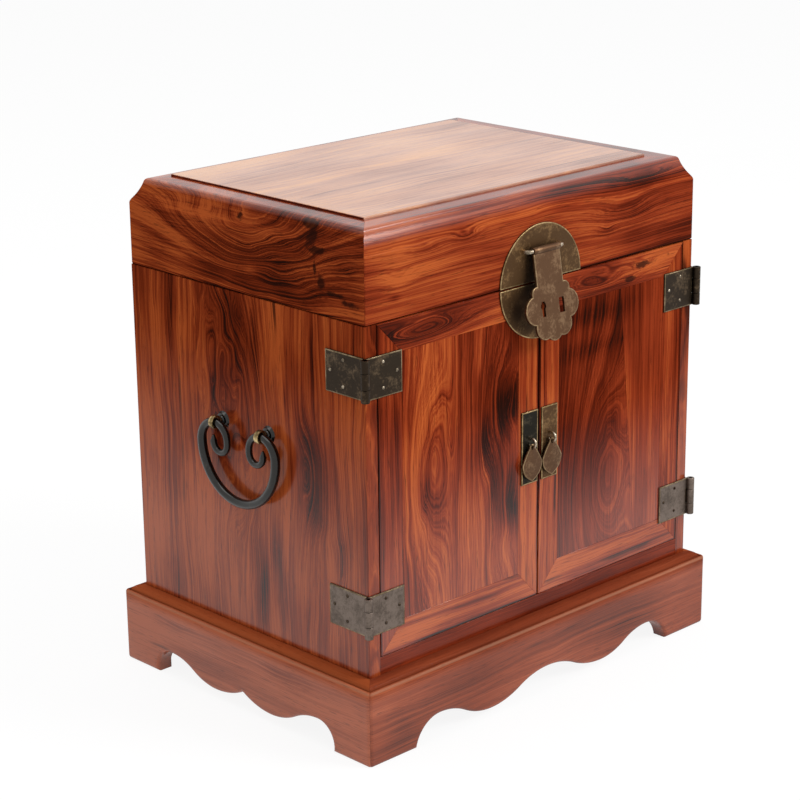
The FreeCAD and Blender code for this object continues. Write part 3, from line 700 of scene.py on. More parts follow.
@dataclass(frozen=True)
class Metal:
    """An aged metal: a dark skin with worn, brighter patches and small pits.

    Attributes:
        name: the material's name.
        skin: the colour of its dark skin.
        worn: the colour where the skin is rubbed away.
        low: the colour that the skin fades to near the floor, where it does.
        share: how much of it is rubbed, from 0 to 1.
        rough: its roughness.
        coat: the weight of a clear coat on it.
        seed: moves the pattern.
    """

    name: str
    skin: Colour
    worn: Colour
    low: Optional[Colour] = None
    share: float = 0.4
    rough: float = 0.42
    coat: float = 0.0
    seed: float = 0.0

    def build(self) -> bpy.types.Material:
        """Make the material: two noises set how far the skin is rubbed, and one pits it.

        Returns:
            The finished material.
        """
        material = blank(self.name)
        shade = Shade(material.node_tree)
        block = Block(shade, *shade.place())
        blot = block.noise(BLOT, (self.seed, 0.0, 0.0))
        speck = block.noise(SPECK, (0.0, self.seed, 0.0))
        wear = blot * BLOT_SHARE + speck * SPECK_SHARE
        worn = wear.step(*(end - WORN_SPREAD * self.share for end in WORN_STEP))
        colour = shade.mix(worn, self.skin, self.worn)
        if self.low is not None:
            faded = block.depth.step(*LOW_FADE) * (LOW_LEAST + wear.step(*LOW_STEP) * LOW_SPAN)
            colour = shade.mix(faded, colour, self.low)
        pits = block.noise(PITS).step(*PIT_STEP)
        colour = shade.mix(pits * PIT_SHARE, colour, tuple(PIT_DARK * part for part in self.skin))
        relief = {"Strength": PIT_RELIEF, "Distance": PIT_DEPTH, "Height": blot - pits * PIT_HEIGHT}
        inputs = {"Base Color": colour,
                  "Metallic": 1.0,
                  "Roughness": (speck - MIDDLE) * SPECK_ROUGH + (self.rough + SKIN_ROUGH) - worn * WORN_ROUGH,
                  "Normal": shade.node("ShaderNodeBump", None, relief),
                  "Coat Weight": self.coat,
                  "Coat Roughness": COAT_ROUGH}
        shade.close(shade.node("ShaderNodeBsdfPrincipled", None, inputs))
        return material


# Surfaces

EDGE_POINTS = 5
WORN_STRIPS = range(1, EDGE_POINTS + 1)
CROWN_SHARES = np.array([0.92, 0.8, 0.62, 0.4, 0.18])
END_TURNS = np.radians([87.0, 70.0, 48.0, 25.0])
DOME_TURNS = np.radians([0.0, 20.0, 40.0, 60.0, 76.0, 88.0])
DOME_ROOT = 0.2
RIM_TURNS = np.radians([0.0, 30.0, 60.0, 90.0])
BOSS_TURNS = np.radians([0.0, 45.0, 90.0])
HUB_SHARE = 0.3
NAIL_SIDES = 14
BAR_SIDES = 24
LEVEL_POINTS = 14
CORNER_POINTS = 7


@dataclass
class Surface:
    """A closed surface in millimetres.

    Attributes:
        points: its points, one row each.
        faces: the points of each face.
        kinds: the finish of each face, 0 for the first and 1 for a worn edge; on the lid's field, 1 is the
            painted shade of its left edge.
    """

    points: Array
    faces: list[list[int]]
    kinds: list[int]

    @classmethod
    def loft(cls, rings: Array, worn: Sequence[int] = (), hoop: bool = False) -> "Surface":
        """Join rings that close on themselves.

        Args:
            rings: an array of rings by points by three.
            worn: the strips between rings that take the worn finish.
            hoop: whether the last ring joins the first; else both ends are capped.

        Returns:
            The closed surface.
        """
        rows, count = rings.shape[:2]
        index = np.arange(rows * count).reshape(rows, count)
        caps = [] if hoop else [index[0, ::-1].tolist(), index[-1].tolist()]
        if hoop:
            index = np.concatenate([index, index[:1]])
        after = np.roll(index, -1, axis=1)
        sides = np.stack([index[:-1], after[:-1], after[1:], index[1:]], axis=-1)
        strips = np.isin(np.arange(len(index) - 1), worn).astype(int)
        kinds = np.repeat(strips, count).tolist() + [0] * len(caps)
        return cls(rings.reshape(-1, 3), sides.reshape(-1, 4).tolist() + caps, kinds)


@dataclass(frozen=True)
class Plane:
    """A flat face of the chest, in millimetres: a point on it and its right and up as seen from outside."""

    origin: Point
    right: Point
    up: Point = UP

    def at(self, flat: Array, rise: Union[Array, float] = 0.0) -> Array:
        """Place flat points at origin + x right + y up + rise (right x up).

        Args:
            flat: (x, y) points on the face.
            rise: how far they stand out of it.

        Returns:
            The points.
        """
        right, up = np.array(self.right), np.array(self.up)
        out = np.cross(right, up)
        rise = np.broadcast_to(rise, flat.shape[:-1])
        return np.array(self.origin) + flat[..., :1] * right + flat[..., 1:] * up + rise[..., None] * out


def rectangle(low: Sequence[float], high: Sequence[float]) -> Array:
    """Return the corners of an upright rectangle, counter-clockwise from its low corner."""
    return np.array([low, (high[0], low[1]), high, (low[0], high[1])], float)


def mirrored(flat: Array) -> Array:
    """Return the mirror image of flat points in x, in their order."""
    return flat * np.array([-1.0, 1.0])


def rounded(radius: float, height: float, round_by: float, turns: Array) -> Array:
    """Return a turned rim's (radius, height) points: a quarter circle from its side to its top."""
    quarter = np.stack([1 - np.cos(turns), 1 - np.sin(turns)], axis=1)
    return np.array([radius, height]) - round_by * quarter


def inset(outline: Array, by: Array) -> Array:
    """Move a closed outline inwards.

    A point moves by (n1 + n2) / (1 + n1 . n2) times the distance, where n1 and n2 are the inward
    normals of the edges that meet there.

    Args:
        outline: counter-clockwise points.
        by: the distances.

    Returns:
        One outline for each distance.
    """
    ahead = np.roll(outline, -1, axis=0) - outline
    ahead = ahead / np.linalg.norm(ahead, axis=1, keepdims=True)
    after = np.stack([-ahead[:, 1], ahead[:, 0]], axis=1)
    before = np.roll(after, 1, axis=0)
    move = (after + before) / (1.0 + np.sum(after * before, axis=1, keepdims=True))
    return outline[None] + by[:, None, None] * move[None]


def slab(plane: Plane, outline: Array, thickness: float, round_by: float, crown: float = 0.0) -> Surface:
    """Make a plate with a rounded front edge.

    The edge is a quarter circle: its inset is r (1 - cos a) and its rise is t - r + r sin a. A crowned
    face goes on towards the outline's middle at shares s of its width, and rises by c (1 - s^2).

    Args:
        plane: the face that the plate's back lies on.
        outline: its outline on that face, counter-clockwise.
        thickness: how far it stands out.
        round_by: the radius of its front edge.
        crown: how far its middle stands out over its edge.

    Returns:
        The plate, whose side and front edge take the worn finish.
    """
    turn = np.linspace(0.0, np.pi / 2, EDGE_POINTS)
    insets = np.concatenate([[0.0], round_by * (1 - np.cos(turn)), [round_by + PLATE_RIM]])
    rises = np.concatenate([[0.0], thickness - round_by * (1 - np.sin(turn)), [thickness]])
    flat = inset(outline, insets)
    if crown:
        middle = flat[-1].mean(axis=0)
        flat = np.concatenate([flat, middle + CROWN_SHARES[:, None, None] * (flat[-1] - middle)])
        rises = np.concatenate([rises, thickness + crown * (1 - CROWN_SHARES ** 2)])
    return Surface.loft(plane.at(flat, rises[:, None]), worn=WORN_STRIPS)


def tube(path: Array, radii: Array, upright: Sequence[float], sides: int) -> Surface:
    """Carry a circle along a flat path and round both ends.

    The ring at p is p + r (cos a n + sin a b): b is the normal of the path's plane and n = b x t. At an
    end the path goes on by r sin e while the radius shrinks to r cos e.

    Args:
        path: the points of the path.
        radii: the radius at each point.
        upright: the normal of the path's plane.
        sides: the points of a ring.

    Returns:
        The tube.
    """
    lead = (path[0] - path[1]) / np.linalg.norm(path[0] - path[1])
    tail = (path[-1] - path[-2]) / np.linalg.norm(path[-1] - path[-2])
    start = path[0] + radii[0] * np.sin(END_TURNS)[:, None] * lead
    end = path[-1] + radii[-1] * np.sin(END_TURNS[::-1])[:, None] * tail
    line = np.concatenate([start, path, end])
    width = np.concatenate([radii[0] * np.cos(END_TURNS), radii, radii[-1] * np.cos(END_TURNS[::-1])])
    tangent = np.gradient(line, axis=0)
    tangent /= np.linalg.norm(tangent, axis=1, keepdims=True)
    binormal = np.array(upright, float)
    normal = np.cross(binormal, tangent)
    angle = np.linspace(0.0, 2 * np.pi, sides, endpoint=False)[None, :, None]
    around = np.cos(angle) * normal[:, None] + np.sin(angle) * binormal
    return Surface.loft(line[:, None] + width[:, None, None] * around)


def spun(profile: Array, origin: Sequence[float], axis: Axis, sides: int, way: int = 1) -> Array:
    """Turn a profile round an axis.

    Args:
        profile: (radius, height) points.
        origin: the point of the axis at height 0.
        axis: the axis.
        sides: the points of a turn.
        way: 1 where heights go along the axis, and -1 where they go against it.

    Returns:
        The grid h A + r (cos a U + sin a V), with A the axis and U and V square to it.
    """
    basis = np.eye(3)
    out, first, second = (basis[(axis.value + step) % 3] for step in range(3))
    angle = np.linspace(0.0, 2 * np.pi, sides, endpoint=False)[None, :, None]
    radius, height = profile[:, 0, None, None], profile[:, 1, None, None]
    around = np.cos(angle) * first + np.sin(angle) * second
    return np.array(origin) + way * height * out + radius * around


def dome(origin: Sequence[float], axis: Axis, way: int, radius: float, rise: float) -> Surface:
    """Make a nail's head: half an ellipse turned round its axis and let a little into the face.

    Args:
        origin: its middle on the face.
        axis: the axis that it stands along.
        way: 1 where it stands along the axis, and -1 where it stands against it.
        radius: its radius.
        rise: how far it stands out.

    Returns:
        The head.
    """
    profile = np.stack([radius * np.cos(DOME_TURNS), rise * np.sin(DOME_TURNS)], axis=1)
    root = np.array([[radius, -DOME_ROOT * rise]])
    return Surface.loft(spun(np.concatenate([root, profile]), origin, axis, NAIL_SIDES, way))


def barrel(origin: Sequence[float], axis: Axis, length: float, radius: float, round_by: float) -> Surface:
    """Make a round bar with rounded rims, turned round its axis.

    Args:
        origin: the middle of its first end.
        axis: its axis.
        length: its length.
        radius: its radius.
        round_by: the radius of its rims.

    Returns:
        The bar.
    """
    hub = np.array([[HUB_SHARE * radius, 0.0]])
    rim = (rounded(radius, 0.0, round_by, RIM_TURNS) * np.array([1.0, -1.0]))[::-1]
    top = np.concatenate([hub, rim])[::-1] * np.array([1.0, -1.0]) + np.array([0.0, length])
    return Surface.loft(spun(np.concatenate([hub, rim, top]), origin, axis, BAR_SIDES))


def arc(centre: Sequence[float], radius: float, first: float, last: float, count: int = 24) -> Array:
    """Return points on a circle from one angle in degrees to another."""
    turn = np.radians(np.linspace(first, last, count))
    return np.array(centre) + radius * np.stack([np.cos(turn), np.sin(turn)], axis=1)


def led_arc(start: Sequence[float], heading: float, end: Sequence[float], count: int = 12) -> Array:
    """Draw the arc that leaves a start at a heading and ends at a point.

    The chord turns by half of the arc's angle, so r = chord / (2 sin h), and the point at heading g is
    the start plus r (sin g - sin g0, cos g0 - cos g).

    Args:
        start: its first point.
        heading: the heading there, in degrees.
        end: its last point.
        count: how many points it gets.

    Returns:
        The points.
    """
    run = np.subtract(end, start)
    first = math.radians(heading)
    half = (math.atan2(run[1], run[0]) - first + math.pi) % (2 * math.pi) - math.pi
    radius = math.hypot(*run) / (2 * math.sin(half))
    turn = first + 2 * half * np.linspace(0.0, 1.0, count)
    along = np.stack([np.sin(turn) - np.sin(first), np.cos(first) - np.cos(turn)], axis=1)
    return np.array(start) + radius * along


def level_arc(level: Sequence[float], other: Sequence[float]) -> Array:
    """Return points of the arc that is level at its first point and passes another one."""
    return led_arc(level, 0.0 if other[0] > level[0] else 180.0, other, LEVEL_POINTS)


def mitred(plane: Plane, section: Array, half: float, round_by: float, edge: Optional[Array] = None,
           low: int = 0) -> Surface:
    """Carry a section along a board whose ends meet their neighbours at 45 degrees.

    A point of inset i ends at half - i. Near a corner of radius r it follows an arc of q = max(r - i, 0):
    x = half - i - q + q sin a, inset i + q (1 - cos a), for a from 0 to 45 degrees, which ends on the
    mitre. The first low points of the section follow the lower edge: each moves by its height times
    (n1 + n2) / (1 + n1 . n2), with n1 and n2 the normals of the edge before and after it, and stays at
    its own height or above it.

    Args:
        plane: the board's outer face, with its middle at x 0.
        section: (inset, height) points round the section.
        half: half of the board's outer length.
        round_by: the radius of the upright corners.
        edge: the lower edge from left to right, or none where it is straight.
        low: how many of the section's first points follow the lower edge.

    Returns:
        The board.
    """
    depth, height = section.T
    corner = np.maximum(round_by - depth, 0.0)
    turn = np.radians(np.linspace(45.0, 0.0, CORNER_POINTS))[:, None]
    x = half - depth - corner + corner * np.sin(turn)
    inward = depth + corner * (1 - np.cos(turn))
    end = np.stack([x, np.broadcast_to(height, x.shape), inward], axis=-1)
    rings = [end * np.array([-1.0, 1.0, 1.0]), end[::-1]]
    if edge is not None:
        ahead = np.diff(edge, axis=0)
        ahead /= np.linalg.norm(ahead, axis=1, keepdims=True)
        normal = np.stack([-ahead[:, 1], ahead[:, 0]], axis=1)
        before, after = np.concatenate([normal[:1], normal]), np.concatenate([normal, normal[-1:]])
        move = (before + after) / (1.0 + np.sum(before * after, axis=1, keepdims=True))
        follows = (np.arange(len(section)) < low)[None, :]
        off = np.where(follows, height[None], 0.0)
        steady = np.maximum.accumulate(edge[:, 0]) + EDGE_STEP * np.arange(len(edge))
        across = np.where(follows, edge[:, :1] + move[:, :1] * off, steady[:, None])
        upward = np.where(follows, np.maximum(edge[:, 1:] + move[:, 1:] * off, off), height[None])
        rings.insert(1, np.stack([across, upward, np.broadcast_to(depth, across.shape)], axis=-1))
    grid = np.concatenate(rings)
    return Surface.loft(plane.at(grid[..., :2], -grid[..., 2]))


# Bench


@dataclass
class Bench:
    """Turns surfaces into dressed pieces that ride on the frame's bodies.

    Attributes:
        made: the materials made so far, by finish.
        count: how many pieces were made.
    """

    made: dict = field(default_factory=dict)
    count: int = 0

    def material(self, finish: Union[Wood, Metal]) -> bpy.types.Material:
        """Return a finish's material, made once."""
        if finish.name not in self.made:
            self.made[finish.name] = finish.build()
        return self.made[finish.name]

    def mesh(self, name: str, surfaces: Sequence[Surface]) -> bpy.types.Object:
        """Join surfaces into one mesh whose faces point outwards.

        Args:
            name: the mesh's name.
            surfaces: what it is made of.

        Returns:
            An object that holds the mesh.
        """
        starts = np.cumsum([0] + [len(item.points) for item in surfaces]).tolist()
        points = np.concatenate([item.points for item in surfaces]) * MM
        faces = [[index + start for index in face]
                 for start, item in zip(starts, surfaces) for face in item.faces]
        mesh = bpy.data.meshes.new(name)
        mesh.from_pydata(points.tolist(), [], faces)
        mesh.polygons.foreach_set("material_index", [kind for item in surfaces for kind in item.kinds])
        work = bmesh.new()
        work.from_mesh(mesh)
        bmesh.ops.recalc_face_normals(work, faces=work.faces)
        work.to_mesh(mesh)
        work.free()
        return shown(name, mesh)

    def cut(self, piece: bpy.types.Object, holes: Sequence[Surface]) -> None:
        """Cut holes out of a piece and keep the result as its mesh.

        Args:
            piece: the piece.
            holes: what is cut out of it.
        """
        tool = self.mesh(f"{piece.name}_holes", holes)
        change = piece.modifiers.new("holes", "BOOLEAN")
        change.operation = "DIFFERENCE"
        change.solver = "EXACT"
        change.use_self = True
        change.object = tool
        graph = bpy.context.evaluated_depsgraph_get()
        cut = bpy.data.meshes.new_from_object(piece.evaluated_get(graph))
        piece.modifiers.clear()
        piece.data = cut
        bpy.data.objects.remove(tool)

    def add(self, name: str, surfaces: Sequence[Surface], body: str, slot: str,
            finishes: Sequence[Union[Wood, Metal]], nodes: Sequence[str] = (),
            holes: Sequence[Surface] = ()) -> None:
        """Make a dressed piece.

        Args:
            name: the piece's name.
            surfaces: what it is made of.
            body: the body that it rides on.
            slot: the name of a material slot; not used.
            finishes: its finish, and that of its worn edges where it has them; on the lid's field the second
                is the painted shade of its left edge.
            nodes: the solids that it stands for.
            holes: what is cut out of it.
        """
        piece = self.mesh(name, surfaces)
        if holes:
            self.cut(piece, holes)
        kinds = np.zeros(len(piece.data.polygons), np.int32)
        piece.data.polygons.foreach_get("material_index", kinds)
        piece.data.materials.clear()
        for finish in finishes:
            piece.data.materials.append(self.material(finish))
        piece.data.polygons.foreach_set("material_index", np.minimum(kinds, len(finishes) - 1))
        piece.data.shade_smooth()
        piece.data.set_sharp_from_angle(angle=SMOOTH_ANGLE)
        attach(piece, body)
        if nodes:
            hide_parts(*nodes)
        self.count += 1
        LOG.info("%s rides on %s: %d faces", name, body, len(piece.data.polygons))

    def dress(self, node: str, finish: Union[Wood, Metal]) -> None:
        """Give a solid that keeps its shape a finish.

        Args:
            node: the solid's name.
            finish: the finish.
        """
        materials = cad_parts[node].data.materials
        materials.clear()
        materials.append(self.material(finish))
        LOG.info("%s keeps its solid", node)


def low_high(node: str) -> tuple[Array, Array]:
    """Return a node's lowest and highest corner in millimetres."""
    low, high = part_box(node)
    return np.array(low) / MM, np.array(high) / MM


def face_point(low: Array, high: Array, face: Face) -> Array:
    """Return the point straight out from the chest's middle on a box's face."""
    out = np.cross(face.value, UP)
    return np.where(out < 0, low, high) * np.abs(out)


def front_slab(low: Array, high: Array, outline: Array, round_by: float) -> Surface:
    """Return a plate that looks to the front, as deep as a box, with an outline in x and z."""
    plane = Plane((0.0, high[1], 0.0), Face.FRONT.value)
    return slab(plane, outline, high[1] - low[1], round_by)


# Finishes of the chest


def figured(*rows: tuple[float, ...]) -> tuple[Oval, ...]:
    """Return a figure for each row of along, across, length, width, lift and darkness."""
    return tuple(Oval(*row) for row in rows)


GRAIN_UP = {"along": Axis.Z, "across": Axis.X}
GRAIN_ACROSS = {"along": Axis.X, "across": Axis.Z}
SIDE_UP = {"along": Axis.Z, "across": Axis.Y}
SIDE_ACROSS = {"along": Axis.Y, "across": Axis.Z}
SIDE_REACH = 174.5
FRONT_REACH = 130.5

SIDE_OVALS = figured(
    (222, 6, 62, 24, 40), (288, 16, 16, 14, 0, 0.5), (240, 33, 32, 4, 0, 0.7), (262, -13, 36, 4, 4, 0.6),
    (234, -41, 9, 1.8, 0, 0.9), (182, -67, 27, 14, 12, 0.9), (184, -68, 14, 5, 0, -0.5),
    (124, -28, 22, 7, 0, 0.95), (92, -14, 28, 5, 0, 0.95), (94, -36, 24, 4, 0, 0.95),
    (270, 78, 44, 4, 0, 0.6), (262, -69, 28, 2, 0, 0.5), (137, -94, 24, 9, 4, 0.7),
    (180, -120, 400, 6, 0, 0.4), (185, 8, 42, 22, 0, -0.2), (112, -58, 34, 8, 0, -0.3),
    (210, 108, 90, 8, 0, 0.3))
LEFT_PANEL_OVALS = figured(
    (189, -110, 66, 17, 32), (172, -110, 12, 2, 0, 0.6), (218, -28, 17, 11, 3, 0.95),
    (198, -54, 20, 6, 6, 0.7), (144, -48, 28, 4.5, 0, 0.8), (225, -44, 52, 17, 14, 0.1),
    (187, -29, 15, 9, 0, -0.3), (146, -28, 22, 11, 4, 0.7), (260, -58, 16, 4, 0, -0.45),
    (110, -34, 16, 14, 6, -0.1))
RIGHT_PANEL_OVALS = figured(
    (138, 64, 76, 32, 56), (264, 56, 8, 44, 0, 0.4), (240, 46, 7, 34, 0, 0.35), (150, 30, 50, 8, 0, 0.3),
    (104, 60, 22, 26, 0, -0.2))
# The first row is painted shadow along the seam under the lid.
LID_LEFT_OVALS = figured(
    (0, 299.6, 600, 1.5, 0, 0.9), (-54, 326, 28, 30, 0, 0.4), (-4, 350, 66, 36, 66),
    (-6, 332, 46, 20, 0, 0.55), (5.5, 351, 3.2, 4.2, 0, 1), (-61, 356, 9, 3.4, 0, 1),
    (-68, 348, 5, 5, 0, 1), (-76, 342, 8, 2.6, 0, 1), (-73, 331, 1.6, 9, 0, 1), (-79, 320, 4, 4, 0, 1),
    (-90, 315.5, 9, 2.2, 0, 1), (-106, 311, 8, 2.6, 0, 1), (-100, 333, 14, 7, 0, 0.6),
    (-10, 317, 7, 5, 0, -0.4), (70, 322, 26, 12, 0, -0.45), (-58, 312, 12, 6, 0, -0.5),
    (30, 346, 60, 3, 0, -0.5))
# The second row is painted shadow along the seam under the lid.
LID_FRONT_OVALS = figured(
    (0, 351, 400, 5, 0, 0.3), (0, 299.6, 600, 1, 0, 0.8), (-110, 339, 22, 6, 4, 0.5),
    (-70, 343, 12, 4, 5, 0.6), (88, 332, 34, 9, 7, 0.5), (67, 322, 10, 4, 4, 0.6),
    (24, 355, 60, 1.8, 0, 0.9), (112, 352, 34, 3, 4, 0.9), (-134, 324, 12, 6, 6, -0.4),
    (-136, 313, 5, 1.6, 0, 0.9), (-60, 312, 60, 7, 0, -0.25))
LID_TOP_OVALS = figured(
    (-40, 16, 120, 8, 0, -0.5), (-85, 66, 50, 10, 4, 0.4), (70, -75, 60, 7, 0, 0.4),
    (80, 34, 60, 8, 0, -0.3), (0, -40, 80, 9, 0, 0.15))
BASE_OVALS = figured(
    (40, 40, 50, 7, 0, 0.3), (-96, 34, 40, 6, 4, 0.3), (90, 28, 50, 14, 0, 0.4), (-146, 14, 16, 16, 0, 0.5))
BASE_SIDE_OVALS = figured(
    (28, 26, 40, 12, 0, 0.45), (-40, 40, 30, 6, 2, 0.3), (70, 42, 24, 5, 2, 0.3),
    (112, 30, 26, 24, 0, -0.35))
# Dark lines along the doors' edges: painted shade in the gaps beside them.
LEFT_HINGE_GAP_SHADE = figured((180, -152.2, 400, 1.5, 0, 0.9))
LEFT_MEETING_GAP_SHADE = figured((180, -0.8, 400, 1.3, 0, 0.9))
RIGHT_MEETING_GAP_SHADE = figured((180, 0.8, 400, 1.3, 0, 0.9))
RIGHT_HINGE_GAP_SHADE = figured((180, 152.2, 400, 1.5, 0, 0.9))
BOTTOM_GAP_SHADE = figured((0, 70.6, 400, 1.3, 0, 0.9))
TALL_WAX = Polish(0.78, 0.0, 100.0, 270.0)
DOOR_WAX = Polish(0.85, 0.0, 80.0, 235.0)
LID_WAX = Polish(0.02, 0.9, 347.0, 359.0)

SIDE_LEFT = Wood(
    "side_left_wood", **SIDE_UP, palette=SIDEWOOD, seed=3.1, sway=8.0, tone=0.27, lean=-0.07, veins=0.25,
    ovals=SIDE_OVALS, polish=TALL_WAX)
SIDE_RIGHT = Wood(
    "side_right_wood", **SIDE_UP, palette=SIDEWOOD, seed=9.4, sway=6.0, tone=0.04, veins=0.35,
    ovals=figured((180, 40, 90, 28, 40, 0.1)), polish=TALL_WAX)
BACK_WOOD = Wood(
    "back_wood", **GRAIN_UP, palette=SIDEWOOD, seed=5.6, sway=7.0, veins=0.3, polish=TALL_WAX,
    ovals=figured((150, -40, 110, 44, 62), (200, 90, 60, 22, 28, 0.2)))
RAIL_WOOD = Wood(
    "rail_wood", **GRAIN_ACROSS, seed=2.2, sway=5.0, tone=-0.14, veins=0.1, contrast=0.5,
    polish=Polish(0.3, 0.3))
TRAY_WOOD = Wood("tray_wood", **GRAIN_ACROSS, seed=7.7, sway=8.0, veins=0.25)
FLOOR_WOOD = Wood(
    "floor_wood", along=Axis.X, across=Axis.Y, palette=DRAWERWOOD, seed=4.4, sway=12.0, veins=0.1,
    contrast=0.6, rough=0.5)
LEFT_PANEL = Wood(
    "left_panel_wood", **GRAIN_UP, seed=1.3, sway=4.5, tone=0.15, lean=-0.055, veins=0.2,
    ovals=LEFT_PANEL_OVALS, polish=Polish(0.95, 0.0, 80.0, 230.0))
RIGHT_PANEL = Wood(
    "right_panel_wood", **GRAIN_UP, seed=6.8, sway=2.0, tone=-0.045, lean=-0.08, veins=0.15, contrast=0.66,
    ovals=RIGHT_PANEL_OVALS, joint=Joint(113.0, -0.103, 0.13), polish=Polish(1.0, 0.0, 80.0, 200.0))
LEFT_HINGE_STILE = Wood(
    "left_hinge_stile_wood", **GRAIN_UP, seed=8.1, sway=4.0, tone=0.07, lean=-0.08, veins=0.4,
    ovals=LEFT_HINGE_GAP_SHADE, polish=Polish(1.0, 0.0, 80.0, 250.0))
RIGHT_HINGE_STILE = Wood(
    "right_hinge_stile_wood", **GRAIN_UP, seed=8.9, sway=4.0, tone=-0.05, veins=0.3, ovals=RIGHT_HINGE_GAP_SHADE,
    polish=Polish(0.6, 0.0, 80.0, 210.0))
LEFT_MEETING_STILE = Wood(
    "left_meeting_stile_wood", **GRAIN_UP, seed=4.9, sway=4.0, tone=0.26, lean=-0.05, veins=0.35,
    ovals=LEFT_MEETING_GAP_SHADE, polish=DOOR_WAX)
RIGHT_MEETING_STILE = Wood(
    "right_meeting_stile_wood", **GRAIN_UP, seed=2.7, sway=4.0, tone=0.22, lean=-0.05, veins=0.3,
    ovals=RIGHT_MEETING_GAP_SHADE, polish=DOOR_WAX)
LEFT_TOP_RAIL = Wood(
    "left_top_rail_wood", **GRAIN_ACROSS, seed=1.9, sway=5.0, tone=0.02, veins=0.15,
    ovals=figured((-112, 286, 36, 6, 18, 0.5), (-142, 290, 10, 8, 0, 0.3)))
RIGHT_TOP_RAIL = Wood(
    "right_top_rail_wood", **GRAIN_ACROSS, seed=3.7, sway=6.0, tone=-0.08, veins=0.15,
    ovals=figured((106, 290, 10, 3, 6, 1.3), (95, 282, 7, 2.4, 4, 1.2), (60, 286, 40, 8, 14, 0.2)))
LEFT_BOTTOM_RAIL = Wood(
    "left_bottom_rail_wood", **GRAIN_ACROSS, seed=5.2, sway=5.0, tone=0.16, veins=0.25, ovals=BOTTOM_GAP_SHADE,
    polish=DOOR_WAX)
RIGHT_BOTTOM_RAIL = Wood(
    "right_bottom_rail_wood", **GRAIN_ACROSS, seed=6.3, sway=5.0, tone=0.1, veins=0.25, ovals=BOTTOM_GAP_SHADE,
    polish=DOOR_WAX)
LID_LEFT = Wood(
    "lid_left_wood", **SIDE_ACROSS, palette=SIDEWOOD, seed=2.9, sway=2.5, tone=0.05, lean=0.1, veins=0.1,
    contrast=1.25, ovals=LID_LEFT_OVALS, polish=Polish(0.0, 0.9, 355.0, 359.5))
LID_RIGHT = Wood("lid_right_wood", **SIDE_ACROSS, seed=7.2, sway=9.0, veins=0.4, polish=LID_WAX)
LID_FRONT = Wood(
    "lid_front_wood", **GRAIN_ACROSS, seed=4.1, sway=3.5, tone=0.02, lean=-0.07, veins=0.15, contrast=0.85,
    ovals=LID_FRONT_OVALS, polish=LID_WAX)
LID_BACK = Wood("lid_back_wood", **GRAIN_ACROSS, seed=9.9, sway=8.0, veins=0.35, polish=LID_WAX)
# The lid's top, and the tongue under it, take the palette with the painted sheen.
LID_TOP_PAINTED_SHEEN = Wood(
    "lid_top_wood", along=Axis.X, across=Axis.Y, palette=TOPWOOD_PAINTED_SHEEN, seed=5.5, sway=8.0, veins=0.1,
    ovals=LID_TOP_OVALS, polish=Polish(1.0, 1.0), rough=0.34)
# A darker tone that paints shade on the raised field's left edge; the tongue's edges take it too.
LID_EDGE_SHADE = Wood("lid_rim_wood", along=Axis.X, across=Axis.Y, seed=5.5, tone=-0.28, contrast=0.4, veins=0.0)
BASE_FRONT = Wood(
    "base_front_wood", **GRAIN_ACROSS, palette=BASEWOOD, seed=1.1, sway=4.0, tone=-0.03, veins=0.1,
    contrast=0.55, ovals=BASE_OVALS, crest=Crest(FRONT_REACH, bead=(0.19, 0.034, 0.013)),
    polish=Polish(0.6, 0.02, 44.0, 54.5), rough=0.42)
BASE_SIDE = Wood(
    "base_side_wood", **SIDE_ACROSS, palette=BASEWOOD, seed=2.4, sway=4.0, tone=0.32, veins=0.1,
    contrast=0.62, ovals=BASE_SIDE_OVALS, crest=Crest(SIDE_REACH), polish=Polish(0.75, 0.02, 44.0, 54.5),
    rough=0.42)
DRAWER_FACE = Wood("drawer_face_wood", **GRAIN_ACROSS, seed=3.3, sway=8.0, veins=0.4)
DRAWER_BOX = Wood(
    "drawer_box_wood", along=Axis.Y, across=Axis.X, palette=DRAWERWOOD, seed=6.1, sway=10.0, veins=0.1,
    contrast=0.6, rough=0.5)

DOOR_WOODS = {
    Side.LEFT: {"hinge_stile": LEFT_HINGE_STILE, "meeting_stile": LEFT_MEETING_STILE,
                "top_rail": LEFT_TOP_RAIL, "bottom_rail": LEFT_BOTTOM_RAIL, "panel": LEFT_PANEL},
    Side.RIGHT: {"hinge_stile": RIGHT_HINGE_STILE, "meeting_stile": RIGHT_MEETING_STILE,
                 "top_rail": RIGHT_TOP_RAIL, "bottom_rail": RIGHT_BOTTOM_RAIL, "panel": RIGHT_PANEL}}

PLATE = Metal("plate_metal", (0.086, 0.045, 0.019), (0.205, 0.117, 0.050), share=0.45, seed=1.0)
DARK_PLATE = Metal("dark_plate_metal", (0.016, 0.014, 0.010), (0.055, 0.044, 0.028), share=0.4, seed=1.2)
PLATE_EDGE = Metal(
    "plate_edge_metal", (0.19, 0.125, 0.055), (0.40, 0.28, 0.14), share=0.6, rough=0.32, seed=1.5)
HASP = Metal("hasp_metal", (0.105, 0.054, 0.028), (0.20, 0.117, 0.064), share=0.5, seed=2.0)
HASP_EDGE = Metal(
    "hasp_edge_metal", (0.18, 0.115, 0.060), (0.34, 0.23, 0.125), share=0.6, rough=0.34, seed=2.5)
LEAF = Metal(
    "leaf_metal", (0.033, 0.023, 0.015), (0.115, 0.078, 0.046), low=(0.19, 0.148, 0.122), share=0.42,
    seed=3.0)
LEAF_EDGE = Metal(
    "leaf_edge_metal", (0.13, 0.094, 0.052), (0.30, 0.225, 0.135), share=0.55, rough=0.36, seed=3.5)
NAIL = Metal("nail_metal", (0.16, 0.125, 0.085), (0.50, 0.42, 0.32), share=0.75, rough=0.3, seed=4.0)
